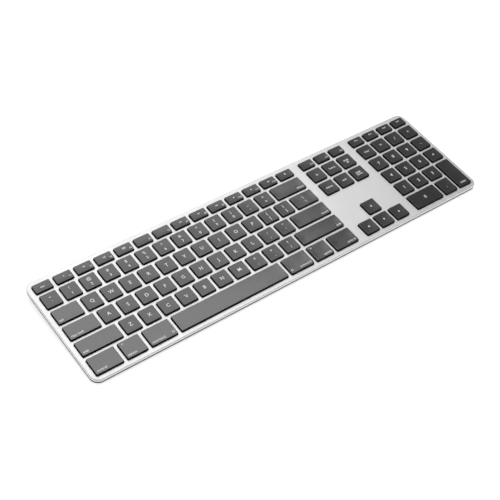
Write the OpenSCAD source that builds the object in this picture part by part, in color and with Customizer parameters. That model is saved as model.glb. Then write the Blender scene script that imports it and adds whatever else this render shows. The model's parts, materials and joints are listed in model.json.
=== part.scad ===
// Thin full-size wireless keyboard with a numeric keypad at its right-hand end.
// Lengths are in millimetres. Two frames are used. The desk frame has +Z up and Z = 0 on the desk.
// The deck frame lies on the top face of the deck plate, with its origin at the middle of that face,
// and on_desk() tips it into the desk frame.

/* [Keys] */
// Distance from one key to the next
key_pitch = 19.05; // [18:0.05:23]
// Gap between two neighbouring caps
key_gap = 3.7; // [3:0.1:5]
// Radius of a cap's corners
cap_corner_r = 1.0; // [0.8:0.1:3]
// Height of a cap's top face above the deck
cap_rise = 2.0; // [1.9:0.1:3]
// How far a cap's skirt reaches below the deck's top face
skirt_drop = 0.6; // [0.4:0.1:0.8]
// Thickness of a cap's roof
cap_roof = 1.0; // [0.8:0.1:1.2]
// Thickness of a cap's skirt
cap_wall = 0.9; // [0.7:0.1:1.1]
// Depth of the short caps in the function row
short_cap_d = 9.6; // [9:0.1:12]
// Middle of the function row, behind the middle of the number row
function_row_y = 16.15; // [15:0.05:20]
// Extra depth of the caps in the row nearest the user
front_row_extra = 2.5; // [0:0.1:3]
// Gap that sets off the navigation keys and the keypad
cluster_gap = 7.6; // [5:0.1:12]
// How far a key travels when it is pressed
key_travel = 1.8; // [1.2:0.1:1.9]

/* [Deck plate] */
// Margin from the outermost caps to the left and right edges
side_margin = 5.0; // [4.8:0.1:12]
// Margin from the front row's caps to the front edge
front_margin = 4.8; // [4.8:0.1:12]
// Margin from the function row's caps to the back edge
back_margin = 5.9; // [5:0.1:12]
// Radius of the plate's corners in plan
plate_corner_r = 8; // [5:0.5:12]
// Thickness of the plate's sheet
plate_t = 1.0; // [0.8:0.1:1.3]
// Height of the rim turned down round the plate
rim_h = 2.6; // [2.4:0.1:3.6]
// Thickness of that rim
rim_t = 1.2; // [0.8:0.1:1.6]
// Clearance between a cap and its well
well_clearance = 0.4; // [0.3:0.05:0.6]

/* [Bottom cover] */
// Thickness of the lip that meets the rim
lip_t = 1.7; // [0.8:0.1:2]
// How far the tub is set in from the plate's edge
tub_inset = 3.2; // [2.5:0.1:3.4]
// Thickness of the tub's wall
tub_wall = 1.0; // [0.8:0.1:1.2]
// Thickness of the tub's floor
tub_floor = 1.0; // [0.8:0.1:1.5]

/* [Riser] */
// Tilt of the deck towards the user, in degrees
tilt = 3; // [2.5:0.1:4]
// How far the riser is set in from the plate's back edge
riser_inset = 5.0; // [4.4:0.1:7]
// How far the riser is set in from the plate's left and right edges
riser_side_inset = 14; // [10:0.5:30]
// Depth of the riser from front to back
riser_d = 26; // [25:0.5:32]
// Thickness of the riser's walls and floor
riser_wall = 1.4; // [1:0.1:1.8]

/* [Feet] */
// Height of the cover's front lower edge above the desk
front_clearance = 1.0; // [0.8:0.1:1.5]
// Height of the riser's floor above the desk
rear_foot_h = 0.8; // [0.6:0.1:1.2]
// Radius of a foot
foot_r = 5; // [4:0.5:6]

/* [Mechanism] */
// Thickness of the steel support plate
support_t = 0.3; // [0.2:0.05:0.3]
// Thickness of the membrane
membrane_t = 0.2; // [0.15:0.05:0.25]
// Width of the outer scissor frame
scissor_w = 11; // [10:0.1:11.5]
// Length of a scissor frame
full_scissor_l = 9.5; // [8.5:0.1:10]
// Length of a scissor frame under a short cap
short_scissor_l = 6.5; // [6.3:0.1:6.8]
// Width of the bars in a scissor frame
scissor_bar = 0.8; // [0.6:0.1:0.9]
// Thickness of a scissor frame
scissor_t = 0.7; // [0.5:0.05:0.8]
// Radius of a rubber dome at its foot
dome_r = 2.3; // [1.8:0.1:2.4]
// Radius of the smaller domes under the short caps, at their foot
short_dome_r = 1.8; // [1.6:0.1:1.9]
// Radius of the wire in a stabiliser
wire_r = 0.4; // [0.3:0.05:0.5]
// Radius of a cover screw's shank
screw_r = 0.6; // [0.5:0.05:0.7]
// Radius of a cover screw's head
screw_head_r = 1.4; // [1.2:0.1:1.6]

/* [Electronics] */
// Length of the battery cell
battery_l = 120; // [60:1:144]
// Depth of the battery cell
battery_d = 18; // [12:0.5:20]
// Thickness of the battery cell
battery_t = 3.6; // [2.8:0.1:3.7]
// Length of the circuit board
board_l = 70; // [60:1:84]
// Depth of the circuit board
board_d = 16; // [14:0.5:18]
// Thickness of the circuit board
board_t = 0.8; // [0.6:0.1:1]
// Width of the charging socket's shell
socket_w = 7.6; // [7:0.1:9]
// Height of the charging socket's shell
socket_h = 2.8; // [2.4:0.1:2.9]
// Depth of the charging socket's shell
socket_d = 6; // [5:0.1:7]
// Travel of the power switch
switch_travel = 3; // [2:0.1:3.6]

/* [Hidden] */
$fn = 48;
SKIP = 0.2;                                     // how far a cutting shape runs past what it cuts
RUN = 0.2;                                      // running clearance beside a sliding or turning piece
TOUCH = 0.05;                                   // gap between two inner pieces that only guide each other
EASE = 0.1;                                     // clearance round a piece that is fixed in place
SUNK = 0.1;                                     // how far one part of a solid runs into the next
HIGH = 20;                                      // above every piece, for the cutting shapes

function units(count) = count * key_pitch;
function cap_length(key_units) = units(key_units) - key_gap;
function ones(n) = [for (i = [1:n]) 1];
function sum_to(list, n) = n <= 0 ? 0 : list[n - 1] + sum_to(list, n - 1);

// Each row's key widths in key units, from left to right
block_units = 15;
function_widths = [for (i = [1:14]) block_units / 14];
number_widths = concat(ones(13), [2]);
top_widths = concat([1.5], ones(12), [1.5]);
home_widths = concat([1.75], ones(11), [2.25]);
lower_widths = concat([2.25], ones(10), [2.75]);
front_widths = [1.5625, 1.25, 1.5625, 6.25, 1.5625, 1.25, 1.5625];
space_index = 3;

cap = cap_length(1);
tall_cap = cap + front_row_extra;
plate_w = units(block_units + 3 + 4) + 2 * cluster_gap - key_gap + 2 * side_margin;
plate_d = back_margin + short_cap_d / 2 + function_row_y + units(4) + cap / 2
    + front_row_extra + front_margin;

// The key grid's left edge and the middles of its rows in the deck frame
typing_x = -plate_w / 2 + side_margin - key_gap / 2;
nav_x = typing_x + units(block_units) + cluster_gap;
pad_x = nav_x + units(3) + cluster_gap;
short_row_y = plate_d / 2 - back_margin - short_cap_d / 2;
number_y = short_row_y - function_row_y;
function row_y(row) = number_y - units(row);
front_y = row_y(4) - front_row_extra / 2;
arrow_shift = -front_row_extra;

// A key is [middle x, middle y, cap width, cap depth]
function row_keys(widths, y, depth) = [for (i = [0:len(widths) - 1])
    [typing_x + units(sum_to(widths, i) + widths[i] / 2), y, cap_length(widths[i]), depth]];
function square_key(left, column, y, depth = cap) = [left + units(column + 0.5), y, cap, depth];
function without(list, index) = [for (i = [0:len(list) - 1]) if (i != index) list[i]];

function_keys = row_keys(function_widths, short_row_y, short_cap_d);
number_keys = row_keys(number_widths, row_y(0), cap);
top_keys = row_keys(top_widths, row_y(1), cap);
home_keys = row_keys(home_widths, row_y(2), cap);
lower_keys = row_keys(lower_widths, row_y(3), cap);
front_keys = row_keys(front_widths, front_y, tall_cap);
space_key = front_keys[space_index];
modifier_row_keys = without(front_keys, space_index);
nav_short_keys = [for (i = [0:2]) square_key(nav_x, i, short_row_y, short_cap_d)];
nav_back_keys = [for (i = [0:2]) square_key(nav_x, i, row_y(0))];
nav_front_keys = [for (i = [0:2]) square_key(nav_x, i, row_y(1))];
up_key = square_key(nav_x, 1, row_y(3) + arrow_shift);
arrow_keys = [for (i = [0:2]) square_key(nav_x, i, row_y(4) + arrow_shift)];
pad_short_keys = [for (i = [0:3]) square_key(pad_x, i, short_row_y, short_cap_d)];
pad_keys = [for (row = [0:3]) [for (i = [0:3]) square_key(pad_x, i, row_y(row))]];
zero_key = [pad_x + units(1), front_y, cap_length(2), tall_cap];
point_key = square_key(pad_x, 2, front_y, tall_cap);
enter_back_y = row_y(3) + cap / 2;
enter_front_y = front_y - tall_cap / 2;
enter_key = square_key(pad_x, 3, (enter_back_y + enter_front_y) / 2, enter_back_y - enter_front_y);
all_keys = concat(function_keys, number_keys, top_keys, home_keys, lower_keys, front_keys,
    nav_short_keys, nav_back_keys, nav_front_keys, [up_key], arrow_keys,
    pad_short_keys, pad_keys[0], pad_keys[1], pad_keys[2],
    [for (i = [0:2]) pad_keys[3][i]], [zero_key, point_key, enter_key]);
wide_keys = [for (key = all_keys) if (key[2] > cap_length(1.9)) key];      // those with a stabiliser wire

// Heights in the deck frame, from the plate's top face downwards
lip_bottom = -rim_h - lip_t;
roof_under = cap_rise - cap_roof;
press_gap = 0.5;                                // left between a pressed cap and the membrane
membrane_top = -skirt_drop - key_travel - press_gap;
membrane_bottom = membrane_top - membrane_t;
support_bottom = membrane_bottom - support_t;
cover_bottom = min(support_bottom - tub_floor, lip_bottom);
tub_top = max(-rim_h, membrane_bottom);
cavity_corner_r = min(plate_corner_r - tub_inset - tub_wall, 2.5);

// Where the deck frame's origin lies in the desk frame
deck_lift = front_clearance + (plate_d / 2 - tub_inset) * sin(tilt) - cover_bottom * cos(tilt);
deck_shift = lip_bottom * sin(tilt) / 2;
plate_back = deck_shift + plate_d / 2 * cos(tilt);

// The riser, in the desk frame
riser_back = plate_back - riser_inset;
riser_front = riser_back - riser_d;
riser_half_w = plate_w / 2 - riser_side_inset;
riser_inner_z = rear_foot_h + riser_wall;

// Screws: [x, y] in the deck frame, all of them under the webs between the keys
web_a = nav_x - cluster_gap / 2;
web_b = pad_x - cluster_gap / 2;
screw_step = 4.2;
screws = concat(
    [for (x = [web_a, web_b]) for (y = [row_y(0.5), row_y(2.5), row_y(4)]) [x, y]],
    [for (i = [0:3]) for (y = [row_y(0.5), row_y(3.5)]) [typing_x + units(1 + i * screw_step), y]],
    [for (i = [0:1]) [pad_x + units(1 + 2 * i), row_y(2.5)]]);
post_r = 1.2;
post_gap = 0.3;
head_t = 0.6;
head_recess = 0.7;
shank_bottom = cover_bottom + head_recess - SUNK;
shank_top = -plate_t - 0.4;

// The dome and the scissor under each cap
cap_inner_r = 0.3;
boss_r = 1.6;
boss_h = 0.6;
dome_top_r = 1.3;
dome_wall = 0.45;
dome_h = roof_under - boss_h - membrane_top;
scissor_mid_z = (membrane_top + roof_under) / 2;
scissor_gap = 0.4;                              // left over a frame's upper end and under its lower one
scissor_rise = roof_under - membrane_top - scissor_t - scissor_gap;
function is_short(key) = key[3] < (cap + short_cap_d) / 2;
function scissor_l(key) = is_short(key) ? short_scissor_l : full_scissor_l;
function scissor_angle(key) = asin(scissor_rise / scissor_l(key));
inner_scissor_w = scissor_w - 2 * scissor_bar - 2 * RUN;
pin_r = 0.175;
pin_sunk = 0.2;
clip_w = 2;
clip_d = 0.5;
clip_h = 1;
clip_gap = 0.3;

// Stabiliser wire: its bar lies behind the scissor and its arms reach forwards under the roof
wire_bar_y = 5.9;
wire_bar_z = membrane_top + wire_r + TOUCH;
wire_tip_y = -1;
wire_tip_z = roof_under - wire_r - TOUCH;
wire_end_inset = 2.6;
wire_foot = 3;

// Electronics, in the desk frame
board_end_gap = 6;
board_x = riser_half_w - riser_wall - board_end_gap - board_l / 2;
board_y = riser_back - riser_wall - RUN - board_d / 2;
board_z = riser_inner_z + 0.6;
board_post_r = 1.5;
board_post_inset = 4;
board_top = board_z + board_t;
processor = [8, 8, 1];
radio = [8, 8, 1.6];
radio_inset = 2;
switch_body_d = 2.4;
switch_body_h = 2.4;

socket_x = board_x - board_l / 4;
socket_wall = 0.35;
socket_back_t = 1;
tongue_inset = 1.6;
tongue_t = 0.6;

knob_w = 3.6;
knob_h = 1.5;
knob_out = 0.8;
slider_t = 0.8;
slider_h = 2.6;
slider_lap = 1;                                 // how far the slider covers its slot at each stop
slider_w = knob_w + 2 * (switch_travel + slider_lap);
slot_w = knob_w + switch_travel + 2 * RUN;
switch_x = board_x + board_l / 4;
switch_mid_z = board_top + RUN + slider_h / 2;
lens_r = 0.9;
lens_gap = 0.02;
lens_x = board_x + board_l / 2 - 6;

battery_x = -40;
battery_gap = 1;
battery_y = riser_front + riser_wall + battery_gap + battery_d / 2;

// The membrane's tail drops through a slot in the support plate and lies over the board's front edge
tail_w = 24;
tail_t = 0.2;
tail_x = board_x - 16;
tail_z = board_top + 1.2;
tail_lap = 3;
tail_front_gap = 2.4;
tail_slot_gap = 0.5;
tail_slot_d = 2;
tail_deck_y = plate_d / 2 - riser_inset - riser_wall - board_d - tail_front_gap;
tail_desk_y = deck_shift + tail_deck_y * cos(tilt) - membrane_bottom * sin(tilt);
tail_top_z = deck_lift + tail_deck_y * sin(tilt) + membrane_bottom * cos(tilt) - 0.02;

foot_x = plate_w / 2 - 40;
foot_gap = 2;
foot_h = 3;                                     // before its lower face is cut level with the desk
front_foot_y = -plate_d / 2 + tub_inset + foot_gap + foot_r;

// ---- Shared shapes ----

module on_desk() translate([0, deck_shift, deck_lift]) rotate([tilt, 0, 0]) children();

// A rectangle with round corners, centred
module round_rect(w, d, r) {
    square([w - 2 * r, d], center = true);
    square([w, d - 2 * r], center = true);
    for (x = [-1, 1], y = [-1, 1])
        translate([x * (w / 2 - r), y * (d / 2 - r)]) circle(r);
}

// An upright block with round corners, from z0 up to z1
module round_block(w, d, r, z0, z1)
    translate([0, 0, z0]) linear_extrude(z1 - z0) round_rect(w, d, r);

// A box from corner a to corner b
module box(a, b) translate(a) cube(b - a);

// The plate's outline drawn in by an inset
module plate_block(inset, z0, z1)
    round_block(plate_w - 2 * inset, plate_d - 2 * inset, plate_corner_r - inset, z0, z1);

// Everything below a level of the deck frame, as a solid in the desk frame
module below_deck_level(z)
    on_desk() box([-plate_w, -plate_d, z - 2 * HIGH], [plate_w, plate_d, z]);

module at_screws() for (place = screws) translate([place[0], place[1], 0]) children();

// The inside of the riser, open at the top
module riser_hollow()
    box([-riser_half_w + riser_wall, riser_front + riser_wall, riser_inner_z],
        [riser_half_w - riser_wall, riser_back - riser_wall, HIGH]);

// ---- Case ----

module deck_plate() color([0.84, 0.85, 0.86]) on_desk() {
    difference() {
        union() {
            difference() {
                plate_block(0, -rim_h, 0);
                plate_block(rim_t, -rim_h - SKIP, -plate_t);
            }
            at_screws() translate([0, 0, membrane_bottom])
                cylinder(r = post_r, h = -plate_t + SUNK - membrane_bottom);
        }
        for (key = all_keys) translate([key[0], key[1], 0])
            round_block(key[2] + 2 * well_clearance, key[3] + 2 * well_clearance,
                cap_corner_r + well_clearance, -rim_h - SKIP, SKIP);
        at_screws() translate([0, 0, membrane_bottom - SKIP])
            cylinder(r = screw_r, h = -membrane_bottom + SKIP - plate_t);
    }
}

module bottom_cover() color([0.2, 0.2, 0.21]) difference() {
    on_desk() difference() {
        union() {
            plate_block(0, lip_bottom, -rim_h);
            plate_block(tub_inset, cover_bottom, tub_top);
        }
        round_block(plate_w - 2 * (tub_inset + tub_wall), plate_d - 2 * (tub_inset + tub_wall),
            cavity_corner_r, support_bottom, SKIP);
        at_screws() translate([0, 0, cover_bottom - SKIP]) {
            cylinder(r = screw_head_r + EASE, h = head_recess + SKIP);
            cylinder(r = screw_r + EASE, h = support_bottom - cover_bottom + 2 * SKIP);
        }
    }
    riser_hollow();
}

module rear_riser() color([0.16, 0.16, 0.17]) {
    difference() {
        intersection() {
            box([-riser_half_w, riser_front, rear_foot_h], [riser_half_w, riser_back, HIGH]);
            below_deck_level(cover_bottom);
        }
        riser_hollow();
        // socket mouth, switch slot and lens hole in the back wall
        box([socket_x - socket_w / 2 - EASE, riser_back - riser_wall - SKIP, board_top - EASE],
            [socket_x + socket_w / 2 + EASE, riser_back + SKIP, board_top + socket_h + EASE]);
        box([switch_x - slot_w / 2, riser_back - riser_wall - SKIP, switch_mid_z - knob_h / 2 - RUN],
            [switch_x + slot_w / 2, riser_back + SKIP, switch_mid_z + knob_h / 2 + RUN]);
        translate([lens_x, riser_back + SKIP, switch_mid_z]) rotate([90, 0, 0])
            cylinder(r = lens_r, h = riser_wall + 2 * SKIP);
    }
    for (x = [-1, 1])
        translate([board_x + x * (board_l / 2 - board_post_inset), board_y, riser_inner_z - SUNK])
            cylinder(r = board_post_r, h = board_z - riser_inner_z + SUNK);
}

module rubber_feet() color([0.1, 0.1, 0.1]) {
    difference() {
        on_desk() for (x = [-foot_x, 0, foot_x])
            translate([x, front_foot_y, cover_bottom - foot_h]) cylinder(r = foot_r, h = foot_h);
        box([-plate_w, -plate_d, -HIGH], [plate_w, plate_d, 0]);
    }
    for (x = [-foot_x, foot_x]) translate([x, riser_back - riser_d / 2, 0])
        cylinder(r = foot_r, h = rear_foot_h);
}

module cover_screws() color([0.35, 0.35, 0.37]) on_desk() at_screws() {
    translate([0, 0, cover_bottom + head_recess - head_t]) cylinder(r = screw_head_r, h = head_t);
    translate([0, 0, shank_bottom]) cylinder(r = screw_r, h = shank_top - shank_bottom);
}

// ---- Key mechanism ----

module support_plate() color([0.62, 0.63, 0.64]) on_desk() difference() {
    plate_block(tub_inset + tub_wall + RUN, support_bottom, membrane_bottom);
    at_screws() translate([0, 0, support_bottom - SKIP])
        cylinder(r = screw_r + EASE, h = support_t + 2 * SKIP);
    tail_slot();
}

// The slot that the membrane's tail passes through
module tail_slot()
    box([tail_x - tail_w / 2 - tail_slot_gap, tail_deck_y - tail_slot_d / 2, support_bottom - SKIP],
        [tail_x + tail_w / 2 + tail_slot_gap, tail_deck_y + tail_slot_d / 2, membrane_bottom + SKIP]);

module membrane() color([0.8, 0.84, 0.8, 0.8]) on_desk() difference() {
    plate_block(tub_inset + tub_wall + RUN, membrane_bottom, membrane_top);
    at_screws() translate([0, 0, membrane_bottom - SKIP])
        cylinder(r = post_r + post_gap, h = membrane_t + 2 * SKIP);
}

module dome(foot_r) rotate_extrude() polygon([
    [0, dome_h - dome_wall], [dome_top_r - dome_wall, dome_h - dome_wall],
    [foot_r - dome_wall, dome_wall], [foot_r - dome_wall, 0], [foot_r, 0], [foot_r, dome_wall],
    [dome_top_r, dome_h], [0, dome_h]]);

module rubber_domes() color([0.86, 0.86, 0.83]) on_desk()
    for (key = all_keys) translate([key[0], key[1], membrane_top])
        dome(is_short(key) ? short_dome_r : dome_r);

// A flat ring that turns about X through the middle of its length
module scissor_ring(w, l, angle) translate([0, 0, scissor_mid_z]) rotate([angle, 0, 0]) difference() {
    cube([w, l, scissor_t], center = true);
    cube([w - 2 * scissor_bar, l - 2 * scissor_bar, 2 * scissor_t], center = true);
}

module scissor_outer_frames() color([0.9, 0.9, 0.88]) on_desk()
    for (key = all_keys) translate([key[0], key[1], 0]) difference() {
        scissor_ring(scissor_w, scissor_l(key), scissor_angle(key));
        translate([0, 0, scissor_mid_z]) rotate([0, 90, 0])
            cylinder(r = pin_r + TOUCH, h = 2 * scissor_w, center = true);
    }

module scissor_inner_frames() color([0.82, 0.82, 0.8]) on_desk()
    for (key = all_keys) translate([key[0], key[1], 0]) {
        scissor_ring(inner_scissor_w, scissor_l(key), -scissor_angle(key));
        for (side = [-1, 1]) translate([side * (inner_scissor_w / 2 - pin_sunk), 0, scissor_mid_z])
            rotate([0, side * 90, 0]) cylinder(r = pin_r, h = RUN + scissor_bar);
    }

module stabiliser_wires() color([0.7, 0.7, 0.72]) on_desk() {
    for (key = wide_keys) translate([key[0], key[1], 0]) stabiliser(key[2]);
    translate([enter_key[0], enter_key[1], 0]) rotate([0, 0, 90]) stabiliser(enter_key[3]);
}

module stabiliser(cap_w) {
    reach = cap_w / 2 - wire_end_inset;
    arm_y = wire_tip_y - wire_bar_y;
    arm_z = wire_tip_z - wire_bar_z;
    translate([0, wire_bar_y, wire_bar_z]) rotate([0, 90, 0])
        cylinder(r = wire_r, h = 2 * (reach + wire_r), center = true);
    for (side = [-1, 1]) translate([side * reach, wire_bar_y, wire_bar_z]) {
        rotate([90 - atan2(arm_z, -arm_y), 0, 0]) cylinder(r = wire_r, h = norm([arm_y, arm_z]));
        translate([side * wire_r, arm_y, arm_z]) rotate([0, -side * 90, 0])
            cylinder(r = wire_r, h = wire_foot);
    }
}

// ---- Electronics ----

module circuit_board() color([0.1, 0.3, 0.18])
    box([board_x - board_l / 2, board_y - board_d / 2, board_z],
        [board_x + board_l / 2, board_y + board_d / 2, board_z + board_t]);

module board_parts() color([0.08, 0.08, 0.09]) {
    on_board(board_x, board_y, processor);
    on_board(board_x - board_l / 2 + radio_inset + radio[0] / 2, board_y, radio);
    // the switch's body, just inside the slider
    on_board(switch_x, riser_back - riser_wall - RUN / 2 - slider_t - RUN - switch_body_d / 2,
        [slider_w, switch_body_d, switch_body_h]);
}

// A package of the given size on the board, centred on x and y
module on_board(x, y, size)
    translate([x - size[0] / 2, y - size[1] / 2, board_top]) cube(size);

module membrane_tail() color([0.85, 0.6, 0.25]) {
    front = tail_desk_y - tail_t / 2;
    box([tail_x - tail_w / 2, front, tail_z], [tail_x + tail_w / 2, front + tail_t, tail_top_z]);
    box([tail_x - tail_w / 2, front, tail_z],
        [tail_x + tail_w / 2, board_y - board_d / 2 + tail_lap, tail_z + tail_t]);
}

module battery_cell() color([0.75, 0.76, 0.78])
    box([battery_x - battery_l / 2, battery_y - battery_d / 2, riser_inner_z],
        [battery_x + battery_l / 2, battery_y + battery_d / 2, riser_inner_z + battery_t]);

module charging_socket() color([0.7, 0.7, 0.72])
    translate([socket_x, riser_back - RUN, board_top + socket_h / 2]) {
        inner_w = socket_w - 2 * socket_wall;
        inner_h = socket_h - 2 * socket_wall;
        tongue_w = socket_w - 2 * tongue_inset;
        difference() {
            box([-socket_w / 2, -socket_d, -socket_h / 2], [socket_w / 2, 0, socket_h / 2]);
            box([-inner_w / 2, -socket_d + socket_back_t, -inner_h / 2], [inner_w / 2, SKIP, inner_h / 2]);
        }
        box([-tongue_w / 2, -socket_d + socket_back_t - SUNK, -tongue_t / 2],
            [tongue_w / 2, -1, tongue_t / 2]);
    }

// Rests at its left-hand stop, which is off
module power_slider() color([0.12, 0.12, 0.13]) translate([switch_x - switch_travel / 2, 0, switch_mid_z]) {
    inner = riser_back - riser_wall - RUN / 2;
    box([-knob_w / 2, inner - SUNK, -knob_h / 2], [knob_w / 2, riser_back + knob_out, knob_h / 2]);
    box([-slider_w / 2 + switch_travel / 2, inner - slider_t, -slider_h / 2],
        [slider_w / 2 - switch_travel / 2, inner, slider_h / 2]);
}

module status_lens() color([0.8, 0.95, 0.8, 0.8])
    translate([lens_x, riser_back - EASE, switch_mid_z]) rotate([90, 0, 0])
        cylinder(r = lens_r - lens_gap, h = riser_wall);

// ---- Keys ----

module keycap(key) {
    w = key[2];
    d = key[3];
    translate([key[0], key[1], 0]) {
        difference() {
            round_block(w, d, cap_corner_r, -skirt_drop, cap_rise);
            round_block(w - 2 * cap_wall, d - 2 * cap_wall, max(cap_corner_r - cap_wall, cap_inner_r),
                -skirt_drop - SKIP, roof_under);
        }
        translate([0, 0, roof_under - boss_h]) cylinder(r = boss_r, h = boss_h + SUNK);
        // clips that hold the scissor's upper ends
        clip_y = scissor_l(key) / 2 * cos(scissor_angle(key)) + clip_gap;
        for (x = [-1, 1], y = [-1, 1]) translate([x * scissor_w / 3, y * (clip_y + clip_d / 2), roof_under])
            cube([clip_w, clip_d, 2 * clip_h], center = true);
    }
}

module key_group(keys) color([0.2, 0.2, 0.21]) on_desk() for (key = keys) keycap(key);

module function_row_keys() key_group(function_keys);
module number_row_keys() key_group(number_keys);
module top_row_keys() key_group(top_keys);
module home_row_keys() key_group(home_keys);
module lower_row_keys() key_group(lower_keys);
module modifier_keys() key_group(modifier_row_keys);
module space_bar() key_group([space_key]);
module key_f13() key_group([nav_short_keys[0]]);
module key_f14() key_group([nav_short_keys[1]]);
module key_f15() key_group([nav_short_keys[2]]);
module key_fn() key_group([nav_back_keys[0]]);
module key_home() key_group([nav_back_keys[1]]);
module key_page_up() key_group([nav_back_keys[2]]);
module key_forward_delete() key_group([nav_front_keys[0]]);
module key_end() key_group([nav_front_keys[1]]);
module key_page_down() key_group([nav_front_keys[2]]);
module key_up() key_group([up_key]);
module key_left() key_group([arrow_keys[0]]);
module key_down() key_group([arrow_keys[1]]);
module key_right() key_group([arrow_keys[2]]);
module key_f16() key_group([pad_short_keys[0]]);
module key_f17() key_group([pad_short_keys[1]]);
module key_f18() key_group([pad_short_keys[2]]);
module key_f19() key_group([pad_short_keys[3]]);
module key_clear() key_group([pad_keys[0][0]]);
module key_equals() key_group([pad_keys[0][1]]);
module key_divide() key_group([pad_keys[0][2]]);
module key_multiply() key_group([pad_keys[0][3]]);
module key_7() key_group([pad_keys[1][0]]);
module key_8() key_group([pad_keys[1][1]]);
module key_9() key_group([pad_keys[1][2]]);
module key_minus() key_group([pad_keys[1][3]]);
module key_4() key_group([pad_keys[2][0]]);
module key_5() key_group([pad_keys[2][1]]);
module key_6() key_group([pad_keys[2][2]]);
module key_plus() key_group([pad_keys[2][3]]);
module key_1() key_group([pad_keys[3][0]]);
module key_2() key_group([pad_keys[3][1]]);
module key_3() key_group([pad_keys[3][2]]);
module key_0() key_group([zero_key]);
module key_point() key_group([point_key]);
module key_enter() key_group([enter_key]);

deck_plate();
bottom_cover();
rear_riser();
support_plate();
membrane();
rubber_domes();
scissor_outer_frames();
scissor_inner_frames();
stabiliser_wires();
circuit_board();
board_parts();
membrane_tail();
battery_cell();
charging_socket();
power_slider();
status_lens();
cover_screws();
rubber_feet();
function_row_keys();
number_row_keys();
top_row_keys();
home_row_keys();
lower_row_keys();
modifier_keys();
space_bar();
key_f13();
key_f14();
key_f15();
key_fn();
key_home();
key_page_up();
key_forward_delete();
key_end();
key_page_down();
key_up();
key_left();
key_down();
key_right();
key_f16();
key_f17();
key_f18();
key_f19();
key_clear();
key_equals();
key_divide();
key_multiply();
key_7();
key_8();
key_9();
key_minus();
key_4();
key_5();
key_6();
key_plus();
key_1();
key_2();
key_3();
key_0();
key_point();
key_enter();
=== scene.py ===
import json
from functools import cache
from math import asin, atan2, cos, pi, radians, sin

import bmesh
import bpy
from mathutils import Matrix, Vector


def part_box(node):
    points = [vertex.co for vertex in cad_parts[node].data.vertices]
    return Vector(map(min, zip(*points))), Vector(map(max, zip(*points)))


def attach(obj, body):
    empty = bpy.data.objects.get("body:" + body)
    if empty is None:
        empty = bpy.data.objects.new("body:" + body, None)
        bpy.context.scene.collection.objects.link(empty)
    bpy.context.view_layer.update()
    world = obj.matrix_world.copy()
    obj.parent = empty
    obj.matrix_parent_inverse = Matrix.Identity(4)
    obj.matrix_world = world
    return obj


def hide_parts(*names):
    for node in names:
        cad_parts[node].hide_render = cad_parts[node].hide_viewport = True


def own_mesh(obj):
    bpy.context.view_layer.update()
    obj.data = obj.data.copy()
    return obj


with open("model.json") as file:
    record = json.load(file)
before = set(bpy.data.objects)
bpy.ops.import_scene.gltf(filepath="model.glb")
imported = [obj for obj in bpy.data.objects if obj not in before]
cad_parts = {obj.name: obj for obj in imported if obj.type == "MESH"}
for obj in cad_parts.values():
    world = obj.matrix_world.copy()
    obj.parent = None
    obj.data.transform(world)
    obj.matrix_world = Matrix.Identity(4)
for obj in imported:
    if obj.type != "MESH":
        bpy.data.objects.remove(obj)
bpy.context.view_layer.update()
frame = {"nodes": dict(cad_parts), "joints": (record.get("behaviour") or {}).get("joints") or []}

# ---- Deck frame ----
# The keyboard's deck leans towards the user. Everything in the deck is laid out in millimetres on the
# deck's own top face, with its middle as origin, and is then tipped on to the desk, in metres.

MM = 0.001
RIM_DEPTH = 2.6
# The cover's lip is this deep so that its near-black band also carries painted shade for the shadow under the
# plate's edge.
LIP_DEPTH = 1.7

press_axis = Vector(next(j["axis"] for j in frame["joints"] if j["name"] == "space_bar_press"))
lean = atan2(press_axis.y, -press_axis.z)
_, cover_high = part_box("bottom_cover")
plate_low, plate_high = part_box("deck_plate")
plate_width = (plate_high.x - plate_low.x) / MM
plate_depth = ((cover_high.y - plate_low.y) / MM - (RIM_DEPTH + LIP_DEPTH) * sin(lean)) / cos(lean)
deck_forward = plate_low.y + plate_depth * MM / 2 * cos(lean)
deck_lift = plate_high.z - plate_depth * MM / 2 * sin(lean)
ON_DESK = Matrix.Translation((0, deck_forward, deck_lift)) @ Matrix.Rotation(lean, 4, "X")
ON_DESK = ON_DESK @ Matrix.Scale(MM, 4)
UPRIGHT = Matrix.Scale(MM, 4)


# ---- Camera and studio ----
# A long lens looks down on the keyboard from its front left corner. The keyboard lies on a white
# table under a large overhead softbox; paler ones at the left and front light its edges.

LENS = 76.8
CAMERA_AZIMUTH = -41.8
CAMERA_ELEVATION = 46.6
CAMERA_ROLL = 6.76
CAMERA_DISTANCE = 969
LOOK_AT = Vector((-27.6, -10.5, 0))


def direction(azimuth, elevation):
    """The way from the keyboard to something at that azimuth and elevation; azimuth 0 is the front."""
    a, e = radians(azimuth), radians(elevation)
    return Vector((sin(a) * cos(e), -cos(a) * cos(e), sin(e)))


def aim(azimuth, elevation, distance, roll=0, target=(0, 0, 0)):
    """A matrix that stands there and faces the target."""
    turn = Matrix.Rotation(radians(azimuth), 4, "Z") @ Matrix.Rotation(radians(90 - elevation), 4, "X")
    place = Vector(target) + direction(azimuth, elevation) * distance * MM
    return Matrix.Translation(place) @ turn @ Matrix.Rotation(radians(roll), 4, "Z")


scene = bpy.context.scene
camera = bpy.data.objects.new("camera", bpy.data.cameras.new("camera"))
camera.data.lens = LENS
camera.matrix_world = aim(
    CAMERA_AZIMUTH, CAMERA_ELEVATION, CAMERA_DISTANCE, CAMERA_ROLL, ON_DESK @ LOOK_AT
)
scene.collection.objects.link(camera)
scene.camera = camera


def softbox(name, azimuth, elevation, distance, size, power):
    light = bpy.data.lights.new(name, "AREA")
    light.shape = "RECTANGLE"
    light.size, light.size_y = size[0] * MM, size[1] * MM
    light.energy = power
    lamp = bpy.data.objects.new(name, light)
    lamp.matrix_world = aim(azimuth, elevation, distance)
    scene.collection.objects.link(lamp)


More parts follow.
